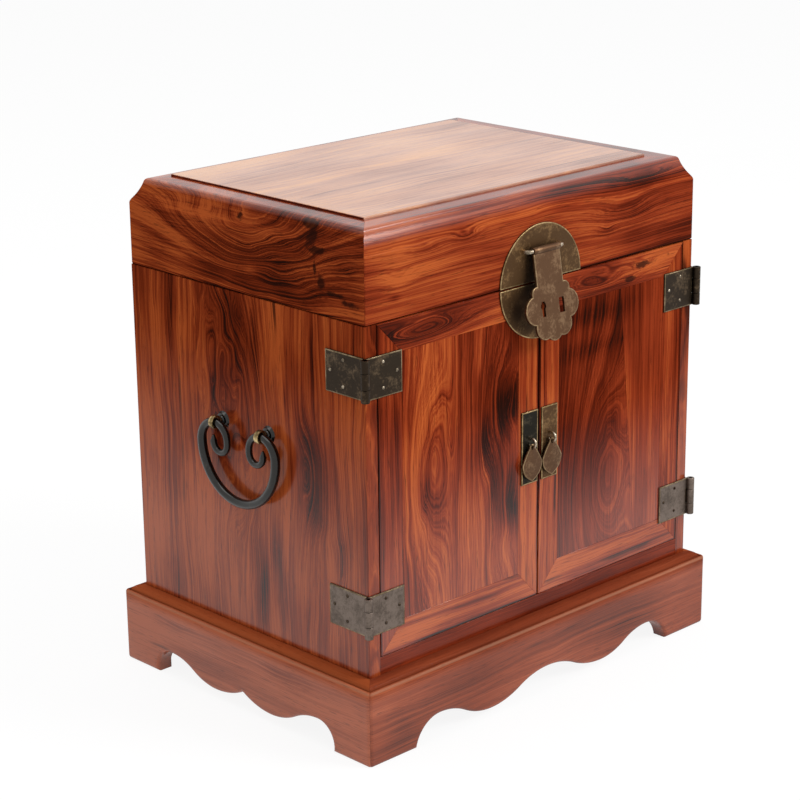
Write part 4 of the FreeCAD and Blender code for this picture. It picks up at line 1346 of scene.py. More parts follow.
HINGE_NAIL = Metal(
    "hinge_nail_metal", (0.13, 0.10, 0.068), (0.46, 0.385, 0.29), low=(0.022, 0.010, 0.006), share=0.6,
    rough=0.33, seed=4.5)
IRON = Metal(
    "bail_metal", (0.011, 0.010, 0.008), (0.034, 0.030, 0.024), share=0.3, rough=0.3, coat=0.7, seed=5.0)
COLLAR = Metal("collar_metal", (0.14, 0.095, 0.042), (0.62, 0.46, 0.22), share=0.55, rough=0.32, seed=6.0)


# Sub-assemblies


@dataclass
class Assembly:
    """A part of the chest.

    Attributes:
        bench: where its pieces are made.
    """

    bench: Bench


@dataclass
class Base(Assembly):
    """The base: four moulded aprons with cusped lower edges, in millimetres."""

    thickness: float = 12.0
    ledge_width: float = 22.0
    ledge_height: float = 12.0
    edge_round: float = 1.5
    bead_rise: float = 3.5
    bead_reach: float = 9.0
    groove_inset: float = 2.4
    groove_width: float = 1.0
    groove_depth: float = 0.8
    groove_ease: float = 0.2
    corner_round: float = 3.5
    foot_round: float = 2.5
    face_margin: float = 1.0
    toe_flat: float = 5.0
    joint_gap: float = 0.06
    front_foot: float = 44.0
    front_crown: tuple[float, float] = (22.5, 18.5)
    front_lobe: tuple[float, float] = (50.5, 5.0)
    front_crest: float = 18.5
    side_foot: float = 37.0
    side_crown: tuple[float, float] = (15.0, 18.7)
    side_lobe: tuple[float, float] = (49.0, 5.7)
    side_cusp: float = 13.5
    round_points: int = 6

    def section(self, top: float) -> Array:
        """Draw the apron's section: foot, face, rim, groove, bead and ledge.

        Args:
            top: the height of its top.

        Returns:
            Its (inset, height) points, of which the first follow the lower edge.
        """
        turn = np.linspace(0.0, np.pi / 2, self.round_points)
        foot = self.foot_round * np.stack([1 - np.sin(turn), 1 - np.cos(turn)], axis=1)
        shelf = top - self.bead_rise
        floor = shelf - self.groove_depth
        face = [(0.0, self.foot_round + self.face_margin), (0.0, shelf - self.edge_round - self.face_margin)]
        quarter = np.stack([1 - np.cos(turn), np.sin(turn) - 1], axis=1)
        rim = self.edge_round * quarter + np.array([0.0, shelf])
        start, end = self.groove_inset, self.groove_inset + self.groove_width
        cut = [(start - self.groove_ease, shelf), (start, shelf - self.groove_ease), (start, floor)]
        bead = level_arc((self.bead_reach, top), (end, floor))[::-1]
        under = top - self.ledge_height
        inside = [(self.ledge_width, top), (self.ledge_width, under), (self.thickness, under)]
        return np.concatenate([[(self.thickness, 0.0)], foot, face, rim, cut, bead, inside])

    def edge(self, half: float, foot: float, crown: Sequence[float], lobe: Sequence[float], middle: float,
             crested: bool) -> Array:
        """Draw a lower edge from foot to foot: level arcs over each crown, lobe and middle.

        Args:
            half: half of the apron's length.
            foot: the length of a foot.
            crown: the run and height of the first arch.
            lobe: the further run, and the height, of the hanging lobe.
            middle: the height at the middle.
            crested: whether the middle is a soft crest or a sharp cusp.

        Returns:
            The points from left to right.
        """
        toe = np.array([foot - half, 0.0])
        top = np.array([toe[0] + crown[0], crown[1]])
        hang = np.array([top[0] + lobe[0], lobe[1]])
        peak = np.array([0.0, middle])
        flat = np.array([toe - (self.toe_flat, 0.0), toe])
        runs = [flat, level_arc(top, toe)[::-1], *self.swing(top, hang)]
        runs += self.swing(hang, peak) if crested else [level_arc(hang, peak)]
        left = np.concatenate([runs[0]] + [run[1:] for run in runs[1:]])
        return np.concatenate([left, mirrored(left)[-2::-1]])

    @staticmethod
    def swing(start: Array, end: Array) -> list[Array]:
        """Return two arcs that leave a start level and reach an end level."""
        middle = (start + end) / 2
        return [level_arc(start, middle), level_arc(end, middle)[::-1]]

    def build(self) -> None:
        """Make the four aprons."""
        long_edge = (self.front_foot, self.front_crown, self.front_lobe, self.front_crest, True)
        short_edge = (self.side_foot, self.side_crown, self.side_lobe, self.side_cusp, False)
        for face in Face:
            node, across = f"{face.word}_apron", bool(face.value[0])
            low, high = low_high(node)
            half = -low_high("left_apron" if across else "front_apron")[0] @ np.abs(face.value)
            edge = self.edge(half, *(long_edge if across else short_edge))
            board = mitred(Plane(tuple(face_point(low, high, face)), face.value), self.section(high[2]),
                           half - self.joint_gap, self.corner_round, edge, self.round_points + 2)
            finish = BASE_FRONT if across else BASE_SIDE
            self.bench.add(f"{node}_board", [board], "case", "base_wood", [finish], [node])


@dataclass
class Case(Assembly):
    """The case: side boards, back, bottom rail and the boards inside, in millimetres."""

    edge_round: float = 0.9
    rail_round: float = 0.35

    def board(self, node: str, face: Face, finish: Wood, round_by: float,
              body: str = "case") -> None:
        """Make a board in a solid's place.

        Args:
            node: the solid.
            face: the way that its outer face looks.
            finish: its wood.
            round_by: the radius of its edges.
            body: the body that it rides on.
        """
        low, high = low_high(node)
        right = np.array(face.value)
        ends = sorted((low @ right, high @ right))
        outline = rectangle((ends[0], low[2]), (ends[1], high[2]))
        thickness = (high - low) @ np.abs(np.cross(right, UP))
        plane = Plane(tuple(face_point(high, low, face)), face.value)
        board = slab(plane, outline, thickness, round_by)
        self.bench.add(f"{node}_wood", [board], body, "rosewood", [finish], [node])

    def build(self) -> None:
        """Make the outer boards and dress the inner ones."""
        self.board("left_side_board", Face.LEFT, SIDE_LEFT, self.edge_round)
        self.board("right_side_board", Face.RIGHT, SIDE_RIGHT, self.edge_round)
        self.board("back_board", Face.BACK, BACK_WOOD, self.rail_round)
        self.board("bottom_rail", Face.FRONT, RAIL_WOOD, self.rail_round)
        self.board("tray_front_board", Face.FRONT, TRAY_WOOD, self.rail_round)
        for node in ("bottom_board", "tray_floor", "lower_shelf", "upper_shelf"):
            self.bench.dress(node, FLOOR_WOOD)


@dataclass
class Lid(Assembly):
    """The lid: four boards with a coved moulding and a raised field, in millimetres."""

    wall: float = 11.0
    wall_rise: float = 43.0
    cove_start: tuple[float, float] = (0.75, 45.0)
    cove_end: tuple[float, float] = (8.1, 58.3)
    moulding_inset: float = 11.0
    height: float = 60.4
    margin: float = 18.0
    frame_thickness: float = 9.5
    rebate: float = 5.0
    corner_round: float = 1.8
    foot_round: float = 0.5
    field_round: float = 0.9
    tongue_round: float = 0.05
    # The faces along the field's left edge that take the painted shade.
    painted_shade_faces: tuple[int, ...] = (3, 7, 11)
    side_lap: float = 3.9
    front_lap: float = 3.0
    back_lap: float = 11.7
    foot_points: int = 5
    nose_points: int = 6
    shoulder_points: int = 8
    joint_gap: float = 0.06

    def section(self) -> Array:
        """Draw a board's section: wall, nose, cove, shoulder and rebated frame.

        Returns:
            Its (inset, height) points.
        """
        foot = arc((self.foot_round, self.foot_round), self.foot_round, 270.0, 180.0, self.foot_points)
        nose = led_arc((0.0, self.wall_rise), 90.0, self.cove_start, self.nose_points)
        tilt = 2 * math.degrees(math.atan2(self.cove_start[1] - self.wall_rise, self.cove_start[0])) - 90.0
        cove = led_arc(self.cove_start, tilt, self.cove_end)
        step = (self.moulding_inset - self.cove_end[0], self.height - self.cove_end[1])
        rise = 2 * math.degrees(math.atan2(step[1], step[0]))
        shoulder = led_arc(self.cove_end, rise, (self.moulding_inset, self.height), self.shoulder_points)
        inner = self.moulding_inset + self.margin
        sill = self.height - self.rebate
        under = self.height - self.frame_thickness
        deep = inner + self.rebate
        inside = [(inner, self.height), (inner, sill), (deep, sill), (deep, under), (self.wall, under),
                  (self.wall, 0.0)]
        return np.concatenate([foot, nose, cove[1:], shoulder[1:], inside])

    def build(self) -> None:
        """Make the boards and the field."""
        finishes = {Face.FRONT: LID_FRONT, Face.BACK: LID_BACK, Face.LEFT: LID_LEFT, Face.RIGHT: LID_RIGHT}
        for face, finish in finishes.items():
            node = f"lid_{face.word}_board"
            low, high = low_high(node)
            origin = face_point(low, high, face) + np.array([0.0, 0.0, low[2]])
            half = (high @ np.abs(face.value)) - self.joint_gap
            board = mitred(Plane(tuple(origin), face.value), self.section(), half, self.corner_round)
            self.bench.add(f"lid_{face.word}_wood", [board], "lid", "rosewood", [finish], [node])
        self.panel()

    def panel(self) -> None:
        """Make the raised field, with painted shade on the side and lower rounding of its left edge, and the
        tongue below it.
        """
        low, high = low_high("lid_top_panel")
        bottom, crown = low[2], low_high("lid_front_board")[1][2]
        above, below = (Plane((0.0, 0.0, level), Face.FRONT.value, Face.RIGHT.value)
                        for level in (crown, bottom))
        raised = slab(above, rectangle(low[:2], high[:2]), high[2] - crown, self.field_round)
        # Painted shade on the side and lower rounding of the field's left edge.
        raised.kinds = [int(index in self.painted_shade_faces) for index in range(len(raised.kinds))]
        first, last = low[:2] + (self.side_lap, self.front_lap), high[:2] - (self.side_lap, self.back_lap)
        tongue = slab(below, rectangle(first, last), crown - bottom, self.tongue_round)
        finishes = [LID_TOP_PAINTED_SHEEN, LID_EDGE_SHADE]
        self.bench.add("lid_field", [raised, tongue], "lid", "rosewood", finishes, ["lid_top_panel"])


@dataclass
class Pull(Assembly):
    """A ring staple and the drop that hangs on it, in millimetres and in shares of the drop's size."""

    ring_radius: float = 3.2
    wire: float = 0.9
    standoff: float = 2.2
    clearance: float = 0.45
    rim: float = 1.3
    thickness: float = 1.6
    crown: float = 0.35
    edge_round: float = 0.35
    plate_thickness: float = 1.2
    belly_down: float = 0.52
    flank_out: float = 0.36
    flank_down: float = 0.82
    headings: tuple[float, ...] = (180.0, 230.0, 270.0, 315.0)
    bore_length: float = 6.0
    bore_round: float = 0.05
    ring_points: int = 40
    wire_sides: int = 14

    def outline(self, width: float, length: float) -> Array:
        """Draw a drop's outline about its ring's middle: four arcs each side, from its top to its tip.

        Args:
            width: the drop's width.
            length: its length.

        Returns:
            Its points, counter-clockwise.
        """
        hole = self.wire + self.clearance
        top = hole + self.rim - self.ring_radius
        neck = (-(hole + self.rim), top - self.rim - hole)
        belly = (-width / 2, top - self.belly_down * length)
        flank = (-self.flank_out * width, top - self.flank_down * length)
        stops = [(0.0, top), neck, belly, flank, (0.0, top - length)]
        runs = [led_arc(*run) for run in zip(stops, self.headings, stops[1:])]
        left = np.concatenate([runs[0]] + [run[1:] for run in runs[1:]])
        return np.concatenate([left, mirrored(left)[-2:0:-1]])

    def drop(self, node: str, middle: Array, width: float, length: float) -> None:
        """Make a crowned drop with its hole.

        Args:
            node: its solid, which is named as its body is.
            middle: the middle of the ring that it hangs on.
            width: its width.
            length: its length.
        """
        plane = Plane((middle[0], middle[1] + self.thickness / 2, middle[2]), Face.FRONT.value)
        outline = self.outline(width, length)
        plate = slab(plane, outline, self.thickness - self.crown, self.edge_round, self.crown)
        start = (middle[0], middle[1] - self.bore_length / 2, middle[2] - self.ring_radius)
        hole = barrel(start, Axis.Y, self.bore_length, self.wire + self.clearance, self.bore_round)
        self.bench.add(f"{node}_plate", [plate], node, "dark_brass", [HASP, HASP_EDGE], [node], [hole])

    def staple(self, middle: Array, root: float) -> Surface:
        """Make the part of a wire ring that stands out of its plate.

        Args:
            middle: the ring's middle.
            root: how far its ends are let into the plate.

        Returns:
            The wire.
        """
        reach = math.degrees(math.acos(-(self.standoff + root) / self.ring_radius))
        line = arc((0.0, 0.0), self.ring_radius, 180.0 - reach, 180.0 + reach, self.ring_points)
        path = np.stack([np.zeros(len(line)), line[:, 0], line[:, 1]], axis=1) + middle
        return tube(path, np.full(len(path), self.wire), Face.FRONT.value, self.wire_sides)


@dataclass
class Doors(Assembly):
    """The two doors: mitred frames, flush panels and pulls, in millimetres."""

    edge_round: float = 0.22
    plate_round: float = 0.4
    ring_root: float = 0.3
    drop_width: float = 19.5
    drop_length: float = 27.0

    @staticmethod
    def outlines(side: Side) -> dict[str, Array]:
        """Draw each member of a door, with mitred corners between the door's edge and its panel.

        Args:
            side: the door's side.

        Returns:
            The outlines by the members' names.
        """
        door = f"{side.word}_door"
        low, high = low_high(f"{door}_bottom_rail")[0], low_high(f"{door}_top_rail")[1]
        outer = rectangle(low[::2], high[::2])
        inner = rectangle(*(end[::2] for end in low_high(f"{door}_panel")))
        stiles = ("meeting_stile", "hinge_stile")[::-side.value]
        made = {}
        for index, member in enumerate(("bottom_rail", stiles[0], "top_rail", stiles[1])):
            after = (index + 1) % len(outer)
            made[member] = np.array([outer[index], outer[after], inner[after], inner[index]])
        made["panel"] = inner
        return made

    def build(self) -> None:
        """Make both doors."""
        pull = Pull(self.bench)
        for side in Side:
            door = f"{side.word}_door"
            outlines = self.outlines(side)
            for member, finish in DOOR_WOODS[side].items():
                node = f"{door}_{member}"
                board = front_slab(*low_high(node), outlines[member], self.edge_round)
                self.bench.add(f"{node}_wood", [board], door, "rosewood", [finish], [node])
            low, high = low_high(f"{door}_pull_plate")
            plate = front_slab(low, high, rectangle(low[::2], high[::2]), self.plate_round)
            finishes = [DARK_PLATE if side is Side.LEFT else PLATE, PLATE_EDGE]
            self.bench.add(f"{door}_pull_back", [plate], door, "dark_brass", finishes, [f"{door}_pull_plate"])
            ring_low, ring_high = low_high(f"{door}_pull_staple")
            middle = (ring_low + ring_high) / 2
            middle[1] = low[1] - pull.standoff
            ring = pull.staple(middle, self.ring_root)
            self.bench.add(f"{door}_pull_ring", [ring], door, "dark_brass", [NAIL], [f"{door}_pull_staple"])
            pull.drop(f"{door}_drop", middle, self.drop_width, self.drop_length)


@dataclass
class Drawers(Assembly):
    """The three drawers behind the doors, in millimetres."""

    front_round: float = 0.5
    rosette_radius: float = 6.0
    rosette_round: float = 0.6
    rosette_hub: float = 3.0
    rosette_sides: int = 40
    ring_root: float = 0.5
    drop_width: float = 13.0
    drop_length: float = 18.0

    def build(self) -> None:
        """Make each drawer's front and pull, and dress its box."""
        case, pull = Case(self.bench), Pull(self.bench)
        plate = pull.plate_thickness
        rim = rounded(self.rosette_radius, plate, self.rosette_round, RIM_TURNS)
        profile = np.concatenate([[(self.rosette_radius, 0.0)], rim, [(self.rosette_hub, plate)]])
        for word in ("lower", "middle", "upper"):
            drawer = f"{word}_drawer"
            case.board(f"{drawer}_front", Face.FRONT, DRAWER_FACE, self.front_round, drawer)
            self.bench.dress(f"{drawer}_box", DRAWER_BOX)
            low, high = low_high(f"{drawer}_staple")
            face = low_high(f"{drawer}_front")[0][1]
            middle = (low + high) / 2
            centre = (middle[0], face, middle[2])
            rosette = Surface.loft(spun(profile, centre, Axis.Y, self.rosette_sides, -1))
            middle[1] = face - plate - pull.standoff
            ring = pull.staple(middle, self.ring_root)
            self.bench.add(f"{drawer}_rosette", [rosette, ring], drawer, "dark_brass", [PLATE],
                           [f"{drawer}_staple"])
            pull.drop(f"{drawer}_drop", middle, self.drop_width, self.drop_length)


@dataclass
class Hinges(Assembly):
    """The four corner hinges and the two behind the lid, in millimetres and in shares of a leaf's size."""

    leaf_thickness: float = 1.2
    leaf_round: float = 0.35
    knuckle_round: float = 0.4
    door_height: float = 28.3
    door_end: float = 8.6
    door_knuckle: float = 2.9
    door_offset: float = 2.5
    case_reach: float = 39.0
    door_reach: float = 34.0
    lid_height: float = 36.0
    lid_end: float = 11.0
    lid_knuckle: float = 2.9
    lid_offset: float = 3.1
    lid_reach: float = 29.1
    gap: float = 0.2
    relief: float = 0.6
    nail_radius: float = 1.25
    nail_rise: float = 0.75
    case_nails: tuple = ((0.56, 0.16), (0.88, 0.47), (0.57, 0.80))
    door_nails: tuple = ((0.50, 0.16), (0.86, 0.45), (0.50, 0.78))
    lid_nails: tuple = ((-0.3, 0.42), (0.3, 0.42), (0.0, 0.78))

    def leaf(self, reach: float, height: float, end: float, start: float, middle: bool) -> Array:
        """Draw a leaf from its pin: a plate with one middle tongue or two end tongues.

        Args:
            reach: how far it reaches from its pin.
            height: its height.
            end: the height of an end tongue.
            start: where its plate starts.
            middle: whether it has the middle tongue.

        Returns:
            Its outline.
        """
        low, high = end + self.gap, height - end - self.gap
        if middle:
            return np.array([(start, 0.0), (reach, 0.0), (reach, height), (start, height), (start, high),
                             (0.0, high), (0.0, low), (start, low)])
        return np.array([(0.0, 0.0), (reach, 0.0), (reach, height), (0.0, height), (0.0, height - end),
                         (start, height - end), (start, end), (0.0, end)])

    def plate(self, plane: Plane, outline: Array) -> Surface:
        """Return a leaf's plate on a face."""
        return slab(plane, outline, self.leaf_thickness, self.leaf_round)

    def spots(self, reach: float, shares: Sequence[tuple]) -> Array:
        """Return nail spots from shares of a door leaf's reach and, from the top, of its height."""
        return np.array([(along * reach, self.door_height * (1 - down)) for along, down in shares])

    def nails(self, plane: Plane, axis: Axis, way: int, spots: Array) -> list[Surface]:
        """Return nail heads on a leaf at flat spots on its plane."""
        heads = plane.at(spots, self.leaf_thickness)
        return [dome(head, axis, way, self.nail_radius, self.nail_rise) for head in heads]

    def corner(self, side: Side, foot: float, corner: Array) -> tuple[list, list, list, list]:
        """Make one corner hinge.

        Args:
            side: the chest's side that it is on.
            foot: the height of its foot.
            corner: where the case's side meets the door's front, in x and y.

        Returns:
            The case's leaf, the door's leaf, and the nails of each.
        """
        sign = side.value
        pin = corner + np.array([sign * self.door_offset, -self.door_offset])
        start = self.door_knuckle + self.relief
        beside = Plane((corner[0], pin[1], foot), (Face.LEFT if side is Side.LEFT else Face.RIGHT).value)
        ahead = Plane((pin[0], corner[1], foot), Face.FRONT.value)
        on_case = self.leaf(self.case_reach, self.door_height, self.door_end, start, True)
        on_door = self.leaf(self.door_reach, self.door_height, self.door_end, start, False)
        if side is Side.LEFT:
            on_case = mirrored(on_case)[::-1]
        else:
            on_door = mirrored(on_door)[::-1]
        inner = self.door_end + self.gap
        spans = [(inner, self.door_height - 2 * inner), (0.0, self.door_end),
                 (self.door_height - self.door_end, self.door_end)]
        knuckle, *ends = [barrel((*pin, foot + lift), Axis.Z, length, self.door_knuckle, self.knuckle_round)
                          for lift, length in spans]
        case_spots = self.spots(sign * self.case_reach, self.case_nails)
        door_spots = self.spots(-sign * self.door_reach, self.door_nails)
        return ([self.plate(beside, on_case), knuckle], [self.plate(ahead, on_door), *ends],
                self.nails(beside, Axis.X, sign, case_spots), self.nails(ahead, Axis.Y, -1, door_spots))

    def hang(self, word: str, body: str, leaves: list[Surface], nails: list[Surface]) -> None:
        """Make the leaves of one body, and their nails, under a word."""
        finishes = [LEAF, LEAF_EDGE]
        self.bench.add(f"{word}_hinge_leaves", leaves, body, "hinge_brass", finishes, [f"{word}_leaves"])
        self.bench.add(f"{word}_hinge_nails", nails, body, "hinge_brass", [HINGE_NAIL])

    def build(self) -> None:
        """Make every leaf and nail."""
        on_case, case_nails = [], []
        levels = [low_high("case_leaves")[0][2], low_high("case_leaves")[1][2] - self.door_height]
        for side in Side:
            door = f"{side.word}_door"
            board_low, board_high = low_high(f"{side.word}_side_board")
            outer = board_low[0] if side is Side.LEFT else board_high[0]
            corner = np.array([outer, low_high(f"{door}_panel")[0][1]])
            on_door, door_nails = [], []
            for foot in levels:
                parts = self.corner(side, foot, corner)
                for pile, part in zip((on_case, on_door, case_nails, door_nails), parts):
                    pile.extend(part)
            self.hang(door, door, on_door, door_nails)
        self.hang("case", "case", on_case, case_nails)
        self.behind()
        self.bench.dress("hinge_pins", NAIL)

    def behind(self) -> None:
        """Make the two hinges behind the lid."""
        low, high = low_high("rear_leaves")
        back = low_high("back_board")[1][1]
        level = (low_high("left_side_board")[1][2] + low_high("lid_back_board")[0][2]) / 2
        start, inner = self.lid_knuckle + self.relief, self.lid_end + self.gap
        half = self.lid_height / 2
        spans = {"rear": [(inner, self.lid_height - 2 * inner)],
                 "lid": [(0.0, self.lid_end), (self.lid_height - self.lid_end, self.lid_end)]}
        for word, body, way in (("rear", "case", -1), ("lid", "lid", 1)):
            flat = self.leaf(self.lid_reach, self.lid_height, self.lid_end, start, word == "rear")
            outline = np.stack([flat[:, 1] - half, way * flat[:, 0]], axis=1)[::-way]
            spots = np.array(self.lid_nails) * np.array([self.lid_height, way * self.lid_reach])
            leaves, nails = [], []
            for middle in (high[0] - half, low[0] + half):
                plane = Plane((middle, back, level), Face.BACK.value)
                leaves.append(self.plate(plane, outline))
                leaves += [barrel((middle - half + lift, back + self.lid_offset, level), Axis.X, length,
                                  self.lid_knuckle, self.knuckle_round) for lift, length in spans[word]]
                nails += self.nails(plane, Axis.Y, 1, spots)
            self.hang(word, body, leaves, nails)


@dataclass
class Lock(Assembly):
    """The lock: a split round plate, a bar and the hasp with its cloud-shaped end, in millimetres."""

    radius: float = 40.0
    plate_round: float = 0.4
    bar_radius: float = 1.5
    bar_bend: float = 2.6
    bar_root: float = 0.4
    hasp_thickness: float = 1.7
    hasp_width: float = 26.0
    hasp_round: float = 0.45
    hasp_tilt: float = 9.0
    roll_round: float = 0.4
    clearance: float = 0.15
    hub_down: float = 42.0
    lobes: tuple = ((5.0, 13.5, 29.0), (10.0, 16.0, 40.0), (8.5, 9.0, 52.5), (8.0, 0.0, 55.0))
    slot_width: float = 5.0
    slot_height: float = 10.5
    slot_out: float = 9.0
    slot_down: float = 40.0
    keyhole_width: float = 3.1
    keyhole_radius: float = 3.2
    keyhole_eye: float = 2.56
    cut_depth: float = 8.0
    cut_round: float = 0.05
    tiny: float = 1e-6
    half_points: int = 90
    quarter_points: int = 50
    hasp_points: int = 420
    eye_end: float = 345.0
    bend_points: int = 8
    bar_sides: int = 18

    def hasp_outline(self) -> Array:
        """Draw the hasp about its hub: the farthest point of strap and lobes in each direction.

        A ray from the hub leaves a disc of middle c and radius r at c . d + sqrt(r^2 - |c|^2 + (c . d)^2),
        and the strap at the nearer of its side and its top.

        Returns:
            Its outline about its bar.
        """
        turn = np.linspace(0.0, 2 * np.pi, self.hasp_points, endpoint=False)
        way = np.stack([np.cos(turn), np.sin(turn)], axis=1)
        up, half = np.maximum(way[:, 1], self.tiny), self.hasp_width / 2
        reach = np.minimum(half / np.maximum(np.abs(way[:, 0]), self.tiny), self.hub_down / up)
        reach = np.where(way[:, 1] > 0, reach, 0.0)
        for radius, out, down in self.lobes:
            for side in Side:
                middle = np.array([side.value * out, self.hub_down - down])
                along = way @ middle
                inside = radius ** 2 - middle @ middle + along ** 2
                far = along + np.sqrt(np.maximum(inside, 0.0))
                reach = np.maximum(reach, np.where(inside >= 0, far, 0.0))
        return way * reach[:, None] - np.array([0.0, self.hub_down])

    def hasp(self, axis: Array) -> None:
        """Make the hasp, leaning out by its tilt, with its two slots, its keyhole's eye and its bore.

        Args:
            axis: the middle of its bar.
        """
        tilt = math.radians(self.hasp_tilt)
        up = (0.0, math.sin(tilt), math.cos(tilt))
        out = np.cross(Face.FRONT.value, up)
        back, through = (Plane(tuple(axis - out * depth / 2), Face.FRONT.value, up)
                         for depth in (self.hasp_thickness, self.cut_depth))
        plate = slab(back, self.hasp_outline(), self.hasp_thickness, self.hasp_round)
        hole = self.bar_radius + self.clearance
        roll = barrel(axis - (self.hasp_width / 2, 0.0, 0.0), Axis.X, self.hasp_width,
                      hole + self.hasp_thickness / 2, self.roll_round)
        cuts = []
        for side, width in ((Side.LEFT, self.keyhole_width), (Side.RIGHT, self.slot_width)):
            middle = np.array([side.value * self.slot_out, -self.slot_down])
            half = np.array([width, self.slot_height]) / 2
            cuts.append(rectangle(middle - half, middle + half))
        eye = (-self.slot_out, self.slot_height / 2 - self.slot_down - self.keyhole_radius)
        cuts.append(arc(eye, self.keyhole_eye, 0.0, self.eye_end))
        holes = [slab(through, cut, self.cut_depth, self.cut_round) for cut in cuts]
        start = axis - (self.hasp_width, 0.0, 0.0)
        holes.append(barrel(start, Axis.X, 2 * self.hasp_width, hole, self.cut_round))
        self.bench.add("hasp_plate", [plate, roll], "hasp", "dark_brass", [HASP, HASP_EDGE], ["hasp"], holes)

    def build(self) -> None:
        """Make the plates, the bar and the hasp."""
        box = low_high("lid_plate")
        seam = low_high("left_side_board")[1][2]
        lift = math.degrees(math.asin((box[0][2] - seam) / self.radius))
        half = arc((0.0, seam), self.radius, lift, 180.0 - lift, self.half_points)
        upper = front_slab(*box, half, self.plate_round)
        self.bench.add("lid_plate_round", [upper], "lid", "dark_brass", [PLATE, PLATE_EDGE], ["lid_plate"])
        high = low_high("left_door_plate")[1]
        first = 180.0 + math.degrees(math.asin((seam - high[2]) / self.radius))
        last = 180.0 + math.degrees(math.acos(-high[0] / self.radius))
        round_side = arc((0.0, seam), self.radius, first, last, self.quarter_points)
        lower = front_slab(*box, np.concatenate([round_side, [high[::2]]]), self.plate_round)
        self.bench.add("left_door_plate_round", [lower], "left_door", "dark_brass", [PLATE, PLATE_EDGE],
                       ["left_door_plate"])
        self.hasp(self.bar())

    def bar(self) -> Array:
        """Make the bar, a rod whose ends bend into the lid's plate.

        Returns:
            The middle of the bar.
        """
        low, high = low_high("hasp_bar")
        half = high[0] - self.bar_radius
        level = (low[2] + high[2]) / 2
        front, root = low[1] + self.bar_radius, high[1] + self.bar_root
        bend, count = self.bar_bend, self.bend_points
        left = arc((-half + bend, front + bend), bend, 180.0, 270.0, count)
        right = arc((half - bend, front + bend), bend, 270.0, 360.0, count)
        path = np.concatenate([[(-half, root)], left, right, [(half, root)]])
        line = np.stack([path[:, 0], path[:, 1], np.full(len(path), level)], axis=1)
        rod = tube(line, np.full(len(line), self.bar_radius), UP, self.bar_sides)
        self.bench.add("hasp_bar_rod", [rod], "lid", "dark_brass", [NAIL], ["hasp_bar"])
        return np.array([0.0, front, level])


